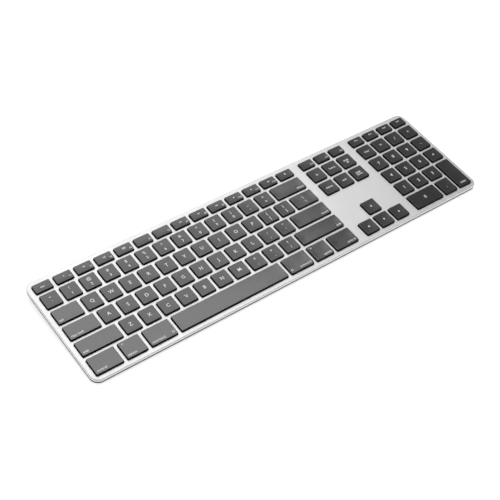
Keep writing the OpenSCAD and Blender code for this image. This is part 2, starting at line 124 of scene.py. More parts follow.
softbox("softbox_overhead", 156, 62, 1600, (1100, 900), 13)
softbox("softbox_left", -120, 28, 1600, (1600, 800), 6)
softbox("softbox_front", 32, 26, 1600, (1600, 800), 6)


def linear(hex_colour):
    """An sRGB hex colour as the linear colour that a shader works in."""
    parts = [int(hex_colour[i:i + 2], 16) / 255 for i in (1, 3, 5)]
    return [c / 12.92 if c <= 0.04045 else ((c + 0.055) / 1.055) ** 2.4 for c in parts] + [1]


scene.world = bpy.data.worlds.new("studio")
scene.world.use_nodes = True
backdrop = scene.world.node_tree.nodes["Background"]
backdrop.inputs["Color"].default_value = linear("#ECECEC")
backdrop.inputs["Strength"].default_value = 0.36
scene.view_settings.view_transform = "Standard"


def add_node(tree, kind, settings=None, links=None):
    """Adds a node. links gives each input a value or another node's output."""
    made = tree.nodes.new(kind)
    for name, value in (settings or {}).items():
        setattr(made, name, value)
    for name, value in (links or {}).items():
        if isinstance(value, bpy.types.NodeSocket):
            tree.links.new(value, made.inputs[name])
        else:
            made.inputs[name].default_value = value
    return made


def start_material(name, **surface):
    """A material whose shader has these settings; returns it with its tree and shader."""
    material = bpy.data.materials.new(name)
    material.use_nodes = True
    shader = material.node_tree.nodes["Principled BSDF"]
    for socket, value in surface.items():
        shader.inputs[socket.replace("_", " ")].default_value = value
    return material, material.node_tree, shader


# Opal acrylic sheet, cast white and lit from below as a product table is: it glows and holds no shadow.
table_acrylic, tree, shader = start_material("opal_acrylic_cast", Roughness=0.6, Emission_Strength=0.62)
shader.inputs["Emission Color"].default_value = linear("#FFFFFF")
place = add_node(tree, "ShaderNodeTexCoord").outputs["Object"]
mottle = add_node(tree, "ShaderNodeTexNoise", None, {"Vector": place, "Scale": 3.0})
tone = add_node(tree, "ShaderNodeValToRGB", None, {"Fac": mottle.outputs["Fac"]})
tone.color_ramp.elements[0].color = linear("#F3F3F3")
tone.color_ramp.elements[1].color = linear("#F8F8F8")
tree.links.new(tone.outputs["Color"], shader.inputs["Base Color"])

TABLE_HALF = 3.0
sheet = bmesh.new()
bmesh.ops.create_grid(sheet, x_segments=2, y_segments=2, size=TABLE_HALF)
table_mesh = bpy.data.meshes.new("table_top")
sheet.to_mesh(table_mesh)
sheet.free()
table_mesh.materials.append(table_acrylic)
table_top = bpy.data.objects.new("table_top", table_mesh)
scene.collection.objects.link(table_top)


# ---- Bottom cover ----
# A shallow tub of dark ABS, injection moulded with a fine spark-eroded grain. Its lip closes the plate's rim
# and shows as a thin dark line, nearly black partly from the plastic's own colour and partly as painted shade
# for the shadow under the plate's edge; the tub is set in, and its floor is drilled for the screws.

ARC = 6
TUB_INSET = 3.2
TUB_WALL = 1.0
TUB_FLOOR = 1.0
LIP_BOTTOM = -RIM_DEPTH - LIP_DEPTH
COVER_BOTTOM = -4.4
CAVITY_CORNER = 2.5
LIP_BREAK = 0.06
LIP_EDGE = 0.2
STEP = 0.1
PLATE_CORNER = 8
SCREW_HEAD_R = 1.4
SCREW_SHANK_R = 0.6


def round_loop(bm, middle, width, depth, corner, z, cuts=(0, 0)):
    """A level loop of edges: a rectangle with round corners, its straight edges cut (along x, along y)."""
    corners = bmesh.ops.create_grid(bm, x_segments=1, y_segments=1, size=0.5)["verts"]
    bmesh.ops.scale(bm, vec=(width, depth, 1), verts=corners)
    bmesh.ops.translate(bm, vec=(middle[0], middle[1], z), verts=corners)
    rounded = bmesh.ops.bevel(
        bm, geom=corners, offset=corner, offset_type="OFFSET", affect="VERTICES",
        segments=ARC, profile=0.5, material=-1,
    )["verts"]
    face = rounded[0].link_faces[0]
    loop = list(face.edges)
    bmesh.ops.delete(bm, geom=[face], context="FACES_ONLY")
    for axis, pieces in enumerate(cuts):
        straight = [e for e in loop if abs(e.verts[0].co[1 - axis] - e.verts[1].co[1 - axis]) < 1e-5]
        if pieces:
            made = bmesh.ops.subdivide_edges(bm, edges=straight, cuts=pieces)["geom_inner"]
            loop += [e for v in made if isinstance(v, bmesh.types.BMVert) for e in v.link_edges]
    return list(set(loop))


def as_mesh(bm, name="part"):
    """Ends a bmesh and returns it as a mesh."""
    mesh = bpy.data.meshes.new(name)
    bm.to_mesh(mesh)
    bm.free()
    return mesh


def stamp(bm, mesh, x=0, y=0):
    """Adds a copy of a mesh to a bmesh, moved to that place on the deck."""
    copy = mesh.copy()
    copy.transform(Matrix.Translation((x, y, 0)))
    bm.from_mesh(copy)
    bpy.data.meshes.remove(copy)


def ring_loop(bm, middle, radius, z, segments=24):
    """A level circle of edges."""
    place = Matrix.Translation((middle[0], middle[1], z))
    made = bmesh.ops.create_circle(bm, segments=segments, radius=radius, matrix=place)
    return list({e for v in made["verts"] for e in v.link_edges})


def bridge(bm, loops, material=0):
    """Skins each loop to the next one."""
    for near, far in zip(loops, loops[1:]):
        for face in bmesh.ops.bridge_loops(bm, edges=near + far)["faces"]:
            face.material_index = material


def fill(bm, loops, material=0):
    """A level face between an outer loop and the loops inside it."""
    made = bmesh.ops.triangle_fill(bm, edges=[e for loop in loops for e in loop], use_beauty=True)
    for face in made["geom"]:
        if isinstance(face, bmesh.types.BMFace):
            face.material_index = material


def plate_loops(bm, profile, corner=PLATE_CORNER):
    """One loop round the plate for each (inset, z) of a profile."""
    return [
        round_loop(bm, (0, 0), plate_width - 2 * inset, plate_depth - 2 * inset, max(corner - inset, 0.5), z)
        for inset, z in profile
    ]


def finish_piece(bm, name, materials, body, nodes=(), place=ON_DESK, crease=30, merge=0.0005):
    """Turns a bmesh into a piece: closed, facing outwards, in place, and riding on its body."""
    bmesh.ops.remove_doubles(bm, verts=bm.verts, dist=merge)
    bmesh.ops.recalc_face_normals(bm, faces=bm.faces)
    for face in bm.faces:
        face.smooth = True
    for edge in bm.edges:
        faces = edge.link_faces
        if len(faces) == 2:
            level = [abs(f.normal.z) > 0.99999 for f in faces]
            edge.smooth = edge.calc_face_angle() < radians(crease) and level[0] == level[1]
    bmesh.ops.transform(bm, matrix=place, verts=bm.verts)
    mesh = bpy.data.meshes.new(name)
    bm.to_mesh(mesh)
    bm.free()
    for material in materials:
        mesh.materials.append(material)
    piece = bpy.data.objects.new(name, mesh)
    scene.collection.objects.link(piece)
    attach(piece, body)
    if nodes:
        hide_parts(*nodes)
    return piece


def moulded_plastic(name, dark, light, roughness, grain, depth, gloss=0.5):
    """Moulded ABS: two close tones, with a spark-eroded grain of that size in millimetres."""
    material, tree, shader = start_material(name, Roughness=roughness, IOR=1.53, Specular_IOR_Level=gloss)
    place = add_node(tree, "ShaderNodeTexCoord").outputs["Object"]
    cloud = add_node(tree, "ShaderNodeTexNoise", None, {"Vector": place, "Scale": 90.0, "Detail": 4.0})
    tone = add_node(tree, "ShaderNodeValToRGB", None, {"Fac": cloud.outputs["Fac"]})
    tone.color_ramp.elements[0].position = 0.3
    tone.color_ramp.elements[1].position = 0.7
    tone.color_ramp.elements[0].color = linear(dark)
    tone.color_ramp.elements[1].color = linear(light)
    tree.links.new(tone.outputs["Color"], shader.inputs["Base Color"])
    finely = 1 / (grain * MM)
    pits = add_node(tree, "ShaderNodeTexNoise", None, {"Vector": place, "Scale": finely, "Detail": 2.0})
    bump = add_node(
        tree, "ShaderNodeBump", None,
        {"Height": pits.outputs["Fac"], "Strength": depth, "Distance": grain * MM},
    )
    tree.links.new(bump.outputs["Normal"], shader.inputs["Normal"])
    return material


# Dark ABS from a spark-eroded mould: matt, with a grain that only shows close up. Its near-black colour and
# weak sheen are partly the plastic's own and partly painted shade for the shadow under the plate's edge.
cover_abs_and_painted_shade = moulded_plastic("cover_abs_spark_eroded_and_painted_shade", "#0B0B0C", "#101011", 0.7, 0.35, 0.35, 0.08)

SCREW_BORE = 0.7
HEAD_RECESS = 0.7
PITCH = 19.05
KEY_GAP = 3.7
SIDE_MARGIN = 5.0
BACK_MARGIN = 5.9
CLUSTER_GAP = 7.6
SHORT_CAP = 9.6
FUNCTION_ROW = 16.15
BLOCK_UNITS = 15
CAP = PITCH - KEY_GAP

typing_x = -plate_width / 2 + SIDE_MARGIN - KEY_GAP / 2
nav_x = typing_x + BLOCK_UNITS * PITCH + CLUSTER_GAP
pad_x = nav_x + 3 * PITCH + CLUSTER_GAP
short_row_y = plate_depth / 2 - BACK_MARGIN - SHORT_CAP / 2


def row_y(row):
    """The middle of a row, counted towards the user from the number row."""
    return short_row_y - FUNCTION_ROW - row * PITCH


screw_places = [(x - CLUSTER_GAP / 2, row_y(row)) for x in (nav_x, pad_x) for row in (0.5, 2.5, 4)]
screw_places += [(typing_x + (1 + i * 4.2) * PITCH, row_y(row)) for row in (0.5, 3.5) for i in range(4)]
screw_places += [(pad_x + (1 + 2 * i) * PITCH, row_y(2.5)) for i in range(2)]

bm = bmesh.new()
outside = [(LIP_BREAK, -RIM_DEPTH), (0, -RIM_DEPTH - LIP_BREAK)]
outside += [
    (LIP_EDGE * (1 - cos(a)), LIP_BOTTOM + LIP_EDGE * (1 - sin(a))) for a in (0, pi / 6, pi / 3, pi / 2)
]
outside += [(TUB_INSET - STEP, LIP_BOTTOM), (TUB_INSET, COVER_BOTTOM)]
CAVITY = TUB_INSET + TUB_WALL
inside = [(CAVITY, COVER_BOTTOM + TUB_FLOOR), (CAVITY, -RIM_DEPTH)]
outer_loops = plate_loops(bm, outside)
inner_loops = plate_loops(bm, inside, CAVITY + CAVITY_CORNER)
bridge(bm, outer_loops)
bridge(bm, inner_loops)
bridge(bm, [inner_loops[-1], outer_loops[0]])
mouths, floors = [], []
for place in screw_places:
    recess = [
        ring_loop(bm, place, SCREW_HEAD_R + 0.25, COVER_BOTTOM),
        ring_loop(bm, place, SCREW_HEAD_R + 0.1, COVER_BOTTOM + 0.15),
        ring_loop(bm, place, SCREW_HEAD_R + 0.1, COVER_BOTTOM + HEAD_RECESS),
        ring_loop(bm, place, SCREW_BORE, COVER_BOTTOM + HEAD_RECESS),
        ring_loop(bm, place, SCREW_BORE, COVER_BOTTOM + TUB_FLOOR),
    ]
    bridge(bm, recess)
    mouths.append(recess[0])
    floors.append(recess[-1])

# The floor is open over the riser, where the battery and the board stand
RISER_WALL = 1.4
riser_low, riser_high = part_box("rear_riser")
to_deck = ON_DESK.inverted()
hollow_front = (to_deck @ Vector((0, riser_low.y + RISER_WALL * MM, 0))).y
hollow_back = (to_deck @ Vector((0, riser_high.y - RISER_WALL * MM, 0))).y
well = ((0, (hollow_front + hollow_back) / 2), (riser_high.x - riser_low.x) / MM - 2 * RISER_WALL,
        hollow_back - hollow_front - 0.6, 1)
opening = [round_loop(bm, *well, z) for z in (COVER_BOTTOM, COVER_BOTTOM + TUB_FLOOR)]
bridge(bm, opening)
fill(bm, [outer_loops[-1], opening[0]] + mouths)
fill(bm, [inner_loops[0], opening[1]] + floors)
finish_piece(bm, "bottom_cover_shell", [cover_abs_and_painted_shade], "case", ["bottom_cover"])


# ---- Rear riser ----
# A long hollow wedge of the same ABS, welded under the back of the cover. It tips the deck towards the
# user and holds the battery; its back wall is pierced for the socket, the switch and the status light.

SOCKET_WIDTH, SOCKET_HEIGHT = 7.6, 2.8
riser_abs = moulded_plastic("riser_abs_spark_eroded", "#252527", "#2B2B2D", 0.5, 0.35, 0.35)
socket_low, socket_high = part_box("charging_socket")
slider_low, slider_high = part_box("power_slider")
lens_low, lens_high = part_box("status_lens")


def middle_of(low, high):
    return (Vector(low) + Vector(high)) / 2 / MM


socket_middle = middle_of(socket_low, socket_high)
lens_middle = middle_of(lens_low, lens_high)
SWITCH_TRAVEL = 3.0
KNOB_WIDTH, KNOB_HEIGHT = 3.6, 1.5
RUN = 0.2
slider_middle = middle_of(slider_low, slider_high)
slot_middle = Vector((slider_middle.x + SWITCH_TRAVEL / 2, 0, slider_middle.z))

bm = bmesh.new()
riser_size = [(h - l) / MM for l, h in zip(riser_low, riser_high)]
riser_middle = middle_of(riser_low, riser_high)
CORNER = 2.0
bottom = riser_low.z / MM


def under_cover(y):
    """The height of the cover's sloping underside, on the desk."""
    return deck_lift / MM + COVER_BOTTOM / cos(lean) + (y - deck_forward / MM) * sin(lean) / cos(lean)


def riser_loop(inset, z):
    """A loop round the riser; without z it follows the sloping underside of the cover."""
    loop = round_loop(
        bm, (0, riser_middle.y), riser_size[0] - 2 * inset, riser_size[1] - 2 * inset,
        max(CORNER - inset, 0.4), bottom if z is None else z,
    )
    if z is None:
        for v in {v for e in loop for v in e.verts}:
            v.co.z = under_cover(v.co.y)
    return loop


EDGE = 1.0
walls = [
    riser_loop(EDGE - EDGE * sin(a), bottom + EDGE - EDGE * cos(a))
    for a in (0, pi / 8, pi / 4, 3 * pi / 8, pi / 2)
]
walls.append(riser_loop(0, None))
hollow = [riser_loop(RISER_WALL, None), riser_loop(RISER_WALL, bottom + RISER_WALL)]
bridge(bm, walls + hollow)
bmesh.ops.edgeloop_fill(bm, edges=walls[0])
bmesh.ops.edgeloop_fill(bm, edges=hollow[-1])
riser = finish_piece(bm, "riser_shell", [riser_abs], "case", ["rear_riser"], UPRIGHT)

# The openings in the back wall are cut square, then their edges are left as the mould's sharp shut-off
bm = bmesh.new()
back = riser_high.y / MM
holes = [
    (socket_middle.x, socket_middle.z, SOCKET_WIDTH + 0.2, SOCKET_HEIGHT + 0.2, 0.9),
    (slot_middle.x, slot_middle.z, KNOB_WIDTH + SWITCH_TRAVEL + 2 * RUN, KNOB_HEIGHT + 2 * RUN, 0.4),
    (lens_middle.x, lens_middle.z, 1.8, 1.8, 0.89),
]
for x, z, width, height, corner in holes:
    loops = [round_loop(bm, (x, z), width, height, corner, out) for out in (-1.2, RISER_WALL + 0.6)]
    bridge(bm, loops)
    for loop in loops:
        bmesh.ops.edgeloop_fill(bm, edges=loop)
bmesh.ops.recalc_face_normals(bm, faces=bm.faces)
FACING_BACK = UPRIGHT @ Matrix.Translation((0, back, 0)) @ Matrix.Rotation(pi / 2, 4, "X")
bmesh.ops.transform(bm, matrix=FACING_BACK, verts=bm.verts)
cutter_mesh = bpy.data.meshes.new("shut_offs")
bm.to_mesh(cutter_mesh)
bm.free()
cutter = bpy.data.objects.new("shut_offs", cutter_mesh)
scene.collection.objects.link(cutter)
cut = riser.modifiers.new("openings", "BOOLEAN")
cut.object = cutter
cut.solver = "EXACT"
bpy.context.view_layer.update()
cut_mesh = bpy.data.meshes.new_from_object(riser.evaluated_get(bpy.context.evaluated_depsgraph_get()))
riser.modifiers.clear()
riser.data = cut_mesh
bpy.data.objects.remove(cutter)


# ---- Charging socket, power switch and status light ----
# A drawn steel socket with a moulded tongue, a ribbed slider and a clear light pipe stand in the
# openings of the riser's back wall. The slider is off at its left-hand stop.

SHEET_STEEL = 0.3
TONGUE_WIDTH, TONGUE_HEIGHT = 4.4, 0.6
SLIDER_THICKNESS = 0.8
KNOB_PROUD = 0.8
LENS_RADIUS = 0.88
RIB_WIDTH = 0.3

# Nickel-plated steel, deep drawn: a warm bright metal, smooth but for faint draw lines.
nickel_steel, tree, shader = start_material("steel_drawn_nickel_plated", Metallic=1.0, Roughness=0.24)
place = add_node(tree, "ShaderNodeTexCoord").outputs["Object"]
drawn = add_node(tree, "ShaderNodeMapping", None, {"Vector": place, "Scale": (900, 60, 900)})
lines = add_node(tree, "ShaderNodeTexNoise", None, {"Vector": drawn.outputs["Vector"], "Scale": 1.0})
tone = add_node(tree, "ShaderNodeValToRGB", None, {"Fac": lines.outputs["Fac"]})
tone.color_ramp.elements[0].color = linear("#C4C1BA")
tone.color_ramp.elements[1].color = linear("#D6D3CC")
tree.links.new(tone.outputs["Color"], shader.inputs["Base Color"])

# Polycarbonate light pipe, moulded clear: glassy, with a faint cool tint.
clear_pipe, tree, shader = start_material(
    "polycarbonate_moulded_clear", Roughness=0.12, IOR=1.585, Transmission_Weight=0.7,
)
place = add_node(tree, "ShaderNodeTexCoord").outputs["Object"]
haze = add_node(tree, "ShaderNodeTexNoise", None, {"Vector": place, "Scale": 600.0})
tone = add_node(tree, "ShaderNodeValToRGB", None, {"Fac": haze.outputs["Fac"]})
tone.color_ramp.elements[0].color = linear("#D9E6DC")
tone.color_ramp.elements[1].color = linear("#E6EFE8")
tree.links.new(tone.outputs["Color"], shader.inputs["Base Color"])


def dress(node, material):
    """Gives a node that keeps its own shape a finish."""
    mesh = frame["nodes"][node].data
    mesh.materials.clear()
    mesh.materials.append(material)


def capped_tube(bm, middle, profile, width, height, corner, material=0):
    """Skins round loops along (inset, z) and closes both ends."""
    loops = [
        round_loop(bm, middle, width - 2 * inset, height - 2 * inset, max(corner - inset, 0.05), z)
        for inset, z in profile
    ]
    bridge(bm, loops, material)
    for end in (loops[0], loops[-1]):
        for face in bmesh.ops.edgeloop_fill(bm, edges=end)["faces"]:
            face.material_index = material


mouth = back - socket_high.y / MM
socket_floor = back - socket_low.y / MM
socket_centre = (socket_middle.x, socket_middle.z)
bm = bmesh.new()
capped_tube(bm, socket_centre, [
    (0, socket_floor), (0, mouth + 0.15), (0.1, mouth), (SHEET_STEEL - 0.1, mouth),
    (SHEET_STEEL, mouth + 0.15), (SHEET_STEEL, socket_floor - 1),
], SOCKET_WIDTH, SOCKET_HEIGHT, SOCKET_HEIGHT / 2 - 0.05)
tongue = [(0, socket_floor - 1), (0, mouth + 1.1), (0.1, mouth + 1)]
capped_tube(bm, socket_centre, tongue, TONGUE_WIDTH, TONGUE_HEIGHT, 0.2, 1)
finish_piece(
    bm, "socket_shell", [nickel_steel, riser_abs], "case", ["charging_socket"], FACING_BACK,
)

slider_centre = (slider_middle.x, slider_middle.z)
inner = RISER_WALL + RUN / 2
bm = bmesh.new()
body_width, body_height = (slider_high.x - slider_low.x) / MM, (slider_high.z - slider_low.z) / MM
slider_back = inner + SLIDER_THICKNESS
body_profile = [(0.1, slider_back), (0, slider_back - 0.1), (0, inner + 0.1), (0.1, inner)]
capped_tube(bm, slider_centre, body_profile, body_width, body_height, 0.4)
knob_profile = [
    (0, inner + 0.1), (0, -KNOB_PROUD + 0.35), (0.05, -KNOB_PROUD + 0.25), (0.15, -KNOB_PROUD + 0.2),
]
capped_tube(bm, slider_centre, knob_profile, KNOB_WIDTH, KNOB_HEIGHT, 0.3)
for step in (-2, -1, 0, 1, 2):
    rib_centre = (slider_middle.x + 2 * step * RIB_WIDTH, slider_middle.z)
    rib_profile = [(0, -KNOB_PROUD + 0.3), (0, -KNOB_PROUD + 0.1), (0.08, -KNOB_PROUD)]
    capped_tube(bm, rib_centre, rib_profile, RIB_WIDTH, KNOB_HEIGHT - 0.3, 0.1)
finish_piece(
    bm, "switch_slider", [riser_abs], "power_slider", ["power_slider"], FACING_BACK,
)

bm = bmesh.new()
front_of_lens = back - lens_high.y / MM
lens_profile = [(LENS_RADIUS, RISER_WALL + 0.1), (LENS_RADIUS, front_of_lens + 0.15),
                (LENS_RADIUS * 0.8, front_of_lens + 0.05), (LENS_RADIUS * 0.4, front_of_lens)]
lens_loops = [ring_loop(bm, (lens_middle.x, lens_middle.z), radius, z) for radius, z in lens_profile]
bridge(bm, lens_loops)
for end in (lens_loops[0], lens_loops[-1]):
    bmesh.ops.edgeloop_fill(bm, edges=end)
finish_piece(bm, "light_pipe", [clear_pipe], "case", ["status_lens"], FACING_BACK, crease=60)


# ---- Circuit board and battery ----
# Inside the riser a green laminate board stands on two posts, with its processor, radio module and
# switch body. Beside it lies a flat battery cell in a heat-sealed foil pouch.

# Glass-epoxy laminate under green solder mask: glossy, with the glass cloth's weave just showing.
solder_mask, tree, shader = start_material("glass_epoxy_solder_masked", Roughness=0.28, IOR=1.55)
place = add_node(tree, "ShaderNodeTexCoord").outputs["Object"]
GLASS_THREAD = 0.6
weave = [
    add_node(tree, "ShaderNodeTexWave", {"bands_direction": axis}, {
        "Vector": place, "Scale": pi / 10 / (GLASS_THREAD * MM),
    })
    for axis in "XY"
]
cloth = add_node(tree, "ShaderNodeMath", {"operation": "MULTIPLY"})
for socket, wave in enumerate(weave):
    tree.links.new(wave.outputs["Fac"], cloth.inputs[socket])
tone = add_node(tree, "ShaderNodeValToRGB", None, {"Fac": cloth.outputs["Value"]})
tone.color_ramp.elements[0].color = linear("#1C4A30")
tone.color_ramp.elements[1].color = linear("#24583A")
tree.links.new(tone.outputs["Color"], shader.inputs["Base Color"])
bump = add_node(tree, "ShaderNodeBump", None, {
    "Height": cloth.outputs["Value"], "Strength": 0.1, "Distance": 0.0001,
})
tree.links.new(bump.outputs["Normal"], shader.inputs["Normal"])

# Filled epoxy, transfer moulded: a flat sooty black with a fine tooth.
chip_epoxy = moulded_plastic("epoxy_transfer_moulded", "#18181A", "#202022", 0.65, 0.2, 0.3)

# Aluminium foil laminated with nylon, heat sealed: dull silver with shallow creases.
pouch_foil, tree, shader = start_material("foil_laminate_heat_sealed", Metallic=0.9, Roughness=0.42)
place = add_node(tree, "ShaderNodeTexCoord").outputs["Object"]
creases = add_node(tree, "ShaderNodeTexNoise", None, {"Vector": place, "Scale": 160.0, "Detail": 3.0})
tone = add_node(tree, "ShaderNodeValToRGB", None, {"Fac": creases.outputs["Fac"]})
tone.color_ramp.elements[0].color = linear("#B4B6B9")
tone.color_ramp.elements[1].color = linear("#C6C8CA")
tree.links.new(tone.outputs["Color"], shader.inputs["Base Color"])
bump = add_node(tree, "ShaderNodeBump", None, {
    "Height": creases.outputs["Fac"], "Strength": 0.5, "Distance": 0.0003,
})
tree.links.new(bump.outputs["Normal"], shader.inputs["Normal"])

dress("circuit_board", solder_mask)
dress("board_parts", chip_epoxy)

PILLOW = 0.9
SEAM = 0.5
cell_low, cell_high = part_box("battery_cell")
cell_size = [(h - l) / MM for l, h in zip(cell_low, cell_high)]
cell_middle = middle_of(cell_low, cell_high)
arc = [(PILLOW * (1 - cos(a)), PILLOW * (1 - sin(a))) for a in (pi / 2, pi / 3, pi / 6, 0)]
pouch = [(SEAM + inset, cell_low.z / MM + up) for inset, up in arc]
pouch += [
    (SEAM, cell_middle.z - 0.15), (0, cell_middle.z - 0.1), (0, cell_middle.z + 0.1),
    (SEAM, cell_middle.z + 0.15),
]
pouch += [(SEAM + inset, cell_high.z / MM - up) for inset, up in reversed(arc)]
bm = bmesh.new()
capped_tube(bm, cell_middle, pouch, cell_size[0], cell_size[1], 1.6)
finish_piece(bm, "battery_pouch", [pouch_foil], "case", ["battery_cell"], UPRIGHT)


# ---- Cover screws ----
# Sixteen small blacked steel screws with hexagon sockets hold the cover to posts under the deck plate.

HEAD_THICKNESS = 0.6
SOCKET_R = 0.7
THREAD_PITCH = 0.3
SCREW_TIP = -1.4

# Carbon steel, turned and blacked in oxide: a deep grey metal with a slight oily sheen.
blacked_steel, tree, shader = start_material("steel_turned_blacked", Metallic=1.0, Roughness=0.35)
place = add_node(tree, "ShaderNodeTexCoord").outputs["Object"]
bloom = add_node(tree, "ShaderNodeTexNoise", None, {"Vector": place, "Scale": 700.0, "Detail": 3.0})
tone = add_node(tree, "ShaderNodeValToRGB", None, {"Fac": bloom.outputs["Fac"]})
tone.color_ramp.elements[0].color = linear("#4A4A4E")
tone.color_ramp.elements[1].color = linear("#5C5C60")
tree.links.new(tone.outputs["Color"], shader.inputs["Base Color"])

head_top = COVER_BOTTOM + HEAD_RECESS
head_face = head_top - HEAD_THICKNESS
one_screw = bmesh.new()
turns = int((SCREW_TIP - head_top) / THREAD_PITCH * 2)
shank = [
    (SCREW_SHANK_R - (0 if k % 2 else 0.1), head_top + k * THREAD_PITCH / 2) for k in range(turns + 1)
]
turned = [(SCREW_SHANK_R / 2, SCREW_TIP)] + shank[::-1]
turned += [(SCREW_HEAD_R - 0.1, head_top), (SCREW_HEAD_R, head_top - 0.1), (SCREW_HEAD_R, head_face + 0.15)]
turned += [(SCREW_HEAD_R - 0.15, head_face)]
screw_loops = [ring_loop(one_screw, (0, 0), radius, z, 18) for radius, z in turned]
bridge(one_screw, screw_loops)
bmesh.ops.edgeloop_fill(one_screw, edges=screw_loops[0])
hexagon = [ring_loop(one_screw, (0, 0), SOCKET_R, z, 6) for z in (head_face, head_face + 0.4)]
bridge(one_screw, hexagon)
bmesh.ops.edgeloop_fill(one_screw, edges=hexagon[1])
fill(one_screw, [screw_loops[-1], hexagon[0]])
screw_mesh = as_mesh(one_screw)
bm = bmesh.new()
for place in screw_places:
    stamp(bm, screw_mesh, *place)
finish_piece(bm, "screws_blacked", [blacked_steel], "case", ["cover_screws"])


# ---- Rubber feet ----
# Five discs punched from black rubber sheet are glued under the cover and the riser. Each has a
# hollowed middle, and the three in front are ground level with the desk.

FOOT_RADIUS = 5
FOOT_HOLLOW = 2.6
_, feet_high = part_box("rubber_feet")
foot_x = feet_high.x / MM - FOOT_RADIUS
front_foot = Vector((0, -plate_depth / 2 + TUB_INSET + 2 + FOOT_RADIUS, COVER_BOTTOM - 0.7))
front_foot_y = (ON_DESK @ front_foot).y / MM

# Nitrile rubber sheet, punched: matt black with a fine granular skin.
rubber = moulded_plastic("nitrile_rubber_punched", "#19191A", "#222223", 0.85, 0.25, 0.5)


def foot(bm, x, y, top):
    """A disc that stands on the desk; top gives the height of what it is glued to, at a y."""
    profile = [(FOOT_HOLLOW - 0.3, 0.2), (FOOT_HOLLOW, 0), (FOOT_RADIUS - 0.3, 0), (FOOT_RADIUS - 0.08, 0.08),
               (FOOT_RADIUS, 0.3), (FOOT_RADIUS, None)]
    loops = [ring_loop(bm, (x, y), radius, z or 0, 36) for radius, z in profile]
    for v in {v for edge in loops[-1] for v in edge.verts}:
        v.co.z = top(v.co.y)
    bridge(bm, loops)
    for end in (loops[0], loops[-1]):
        bmesh.ops.edgeloop_fill(bm, edges=end)


bm = bmesh.new()
for x in (-foot_x, 0, foot_x):
    foot(bm, x, front_foot_y, under_cover)
for x in (-foot_x, foot_x):
    foot(bm, x, riser_middle.y, lambda y: riser_low.z / MM)
finish_piece(bm, "feet_rubber", [rubber], "case", ["rubber_feet"], UPRIGHT)


# ---- Deck plate ----
# One sheet of aluminium, pressed and milled, then bead blasted and clear anodised. Its top edge is
# rolled over, its rim turns down to meet the cover, and each key sits in a well with a broken edge.

PLATE_THICKNESS = 1.0
RIM_THICKNESS = 1.2
ROLL = 0.7
WELL_CLEARANCE = 0.4
CAP_CORNER = 1.0
FRONT_EXTRA = 2.5
TALL_CAP = CAP + FRONT_EXTRA
SUPPORT_THICKNESS = 0.3
POST_FOOT = COVER_BOTTOM + TUB_FLOOR + SUPPORT_THICKNESS
POST_RADIUS = 1.2
front_y = row_y(4) - FRONT_EXTRA / 2


def row_keys(widths, y, depth=CAP):
    """[x, y, width, depth] of each cap in a row of the typing block, from widths in key units."""
    return [
        (typing_x + (sum(widths[:i]) + wide / 2) * PITCH, y, wide * PITCH - KEY_GAP, depth)
        for i, wide in enumerate(widths)
    ]


def square_key(left, column, y, depth=CAP):
    return (left + (column + 0.5) * PITCH, y, CAP, depth)


front_row = row_keys([1.5625, 1.25, 1.5625, 6.25, 1.5625, 1.25, 1.5625], front_y, TALL_CAP)
enter_back = row_y(3) + CAP / 2
enter_front = front_y - TALL_CAP / 2
enter_key = (pad_x + 3.5 * PITCH, (enter_back + enter_front) / 2, CAP, enter_back - enter_front)

keys = {
    "function_row_keys": row_keys([BLOCK_UNITS / 14] * 14, short_row_y, SHORT_CAP),
    "number_row_keys": row_keys([1] * 13 + [2], row_y(0)),
    "top_row_keys": row_keys([1.5] + [1] * 12 + [1.5], row_y(1)),
    "home_row_keys": row_keys([1.75] + [1] * 11 + [2.25], row_y(2)),
    "lower_row_keys": row_keys([2.25] + [1] * 10 + [2.75], row_y(3)),
    "modifier_keys": front_row[:3] + front_row[4:],
    "space_bar": [front_row[3]],
}
cluster_names = {
    (nav_x, short_row_y, SHORT_CAP): ["key_f13", "key_f14", "key_f15"],
    (nav_x, row_y(0), CAP): ["key_fn", "key_home", "key_page_up"],
    (nav_x, row_y(1), CAP): ["key_forward_delete", "key_end", "key_page_down"],
    (nav_x, row_y(3) - FRONT_EXTRA, CAP): [None, "key_up"],
    (nav_x, row_y(4) - FRONT_EXTRA, CAP): ["key_left", "key_down", "key_right"],
    (pad_x, short_row_y, SHORT_CAP): ["key_f16", "key_f17", "key_f18", "key_f19"],
    (pad_x, row_y(0), CAP): ["key_clear", "key_equals", "key_divide", "key_multiply"],
    (pad_x, row_y(1), CAP): ["key_7", "key_8", "key_9", "key_minus"],
    (pad_x, row_y(2), CAP): ["key_4", "key_5", "key_6", "key_plus"],
    (pad_x, row_y(3), CAP): ["key_1", "key_2", "key_3"],
    (pad_x, front_y, TALL_CAP): [None, None, "key_point"],
}
for (left, y, depth), names in cluster_names.items():
    for column, name in enumerate(names):
        if name:
            keys[name] = [square_key(left, column, y, depth)]
keys["key_0"] = [(pad_x + PITCH, front_y, 2 * PITCH - KEY_GAP, TALL_CAP)]
keys["key_enter"] = [enter_key]

# Bead-blasted aluminium, clear anodised: a bright, even metal whose fine pits spread every reflection.
anodised, tree, shader = start_material("aluminium_bead_blasted_anodised", Metallic=1.0)
place = add_node(tree, "ShaderNodeTexCoord").outputs["Object"]
cloud = add_node(tree, "ShaderNodeTexNoise", None, {"Vector": place, "Scale": 35.0, "Detail": 5.0})
tone = add_node(tree, "ShaderNodeValToRGB", None, {"Fac": cloud.outputs["Fac"]})
tone.color_ramp.elements[0].color = linear("#CBCBCC")
tone.color_ramp.elements[1].color = linear("#D1D1D2")
tree.links.new(tone.outputs["Color"], shader.inputs["Base Color"])
haze = add_node(tree, "ShaderNodeMapRange", None, {
    "Value": cloud.outputs["Fac"], "From Min": 0.3, "From Max": 0.7, "To Min": 0.5, "To Max": 0.56,
})
tree.links.new(haze.outputs["Result"], shader.inputs["Roughness"])
BEAD = 0.25
pits = add_node(tree, "ShaderNodeTexNoise", None, {"Vector": place, "Scale": 1 / (BEAD * MM), "Detail": 2.0})
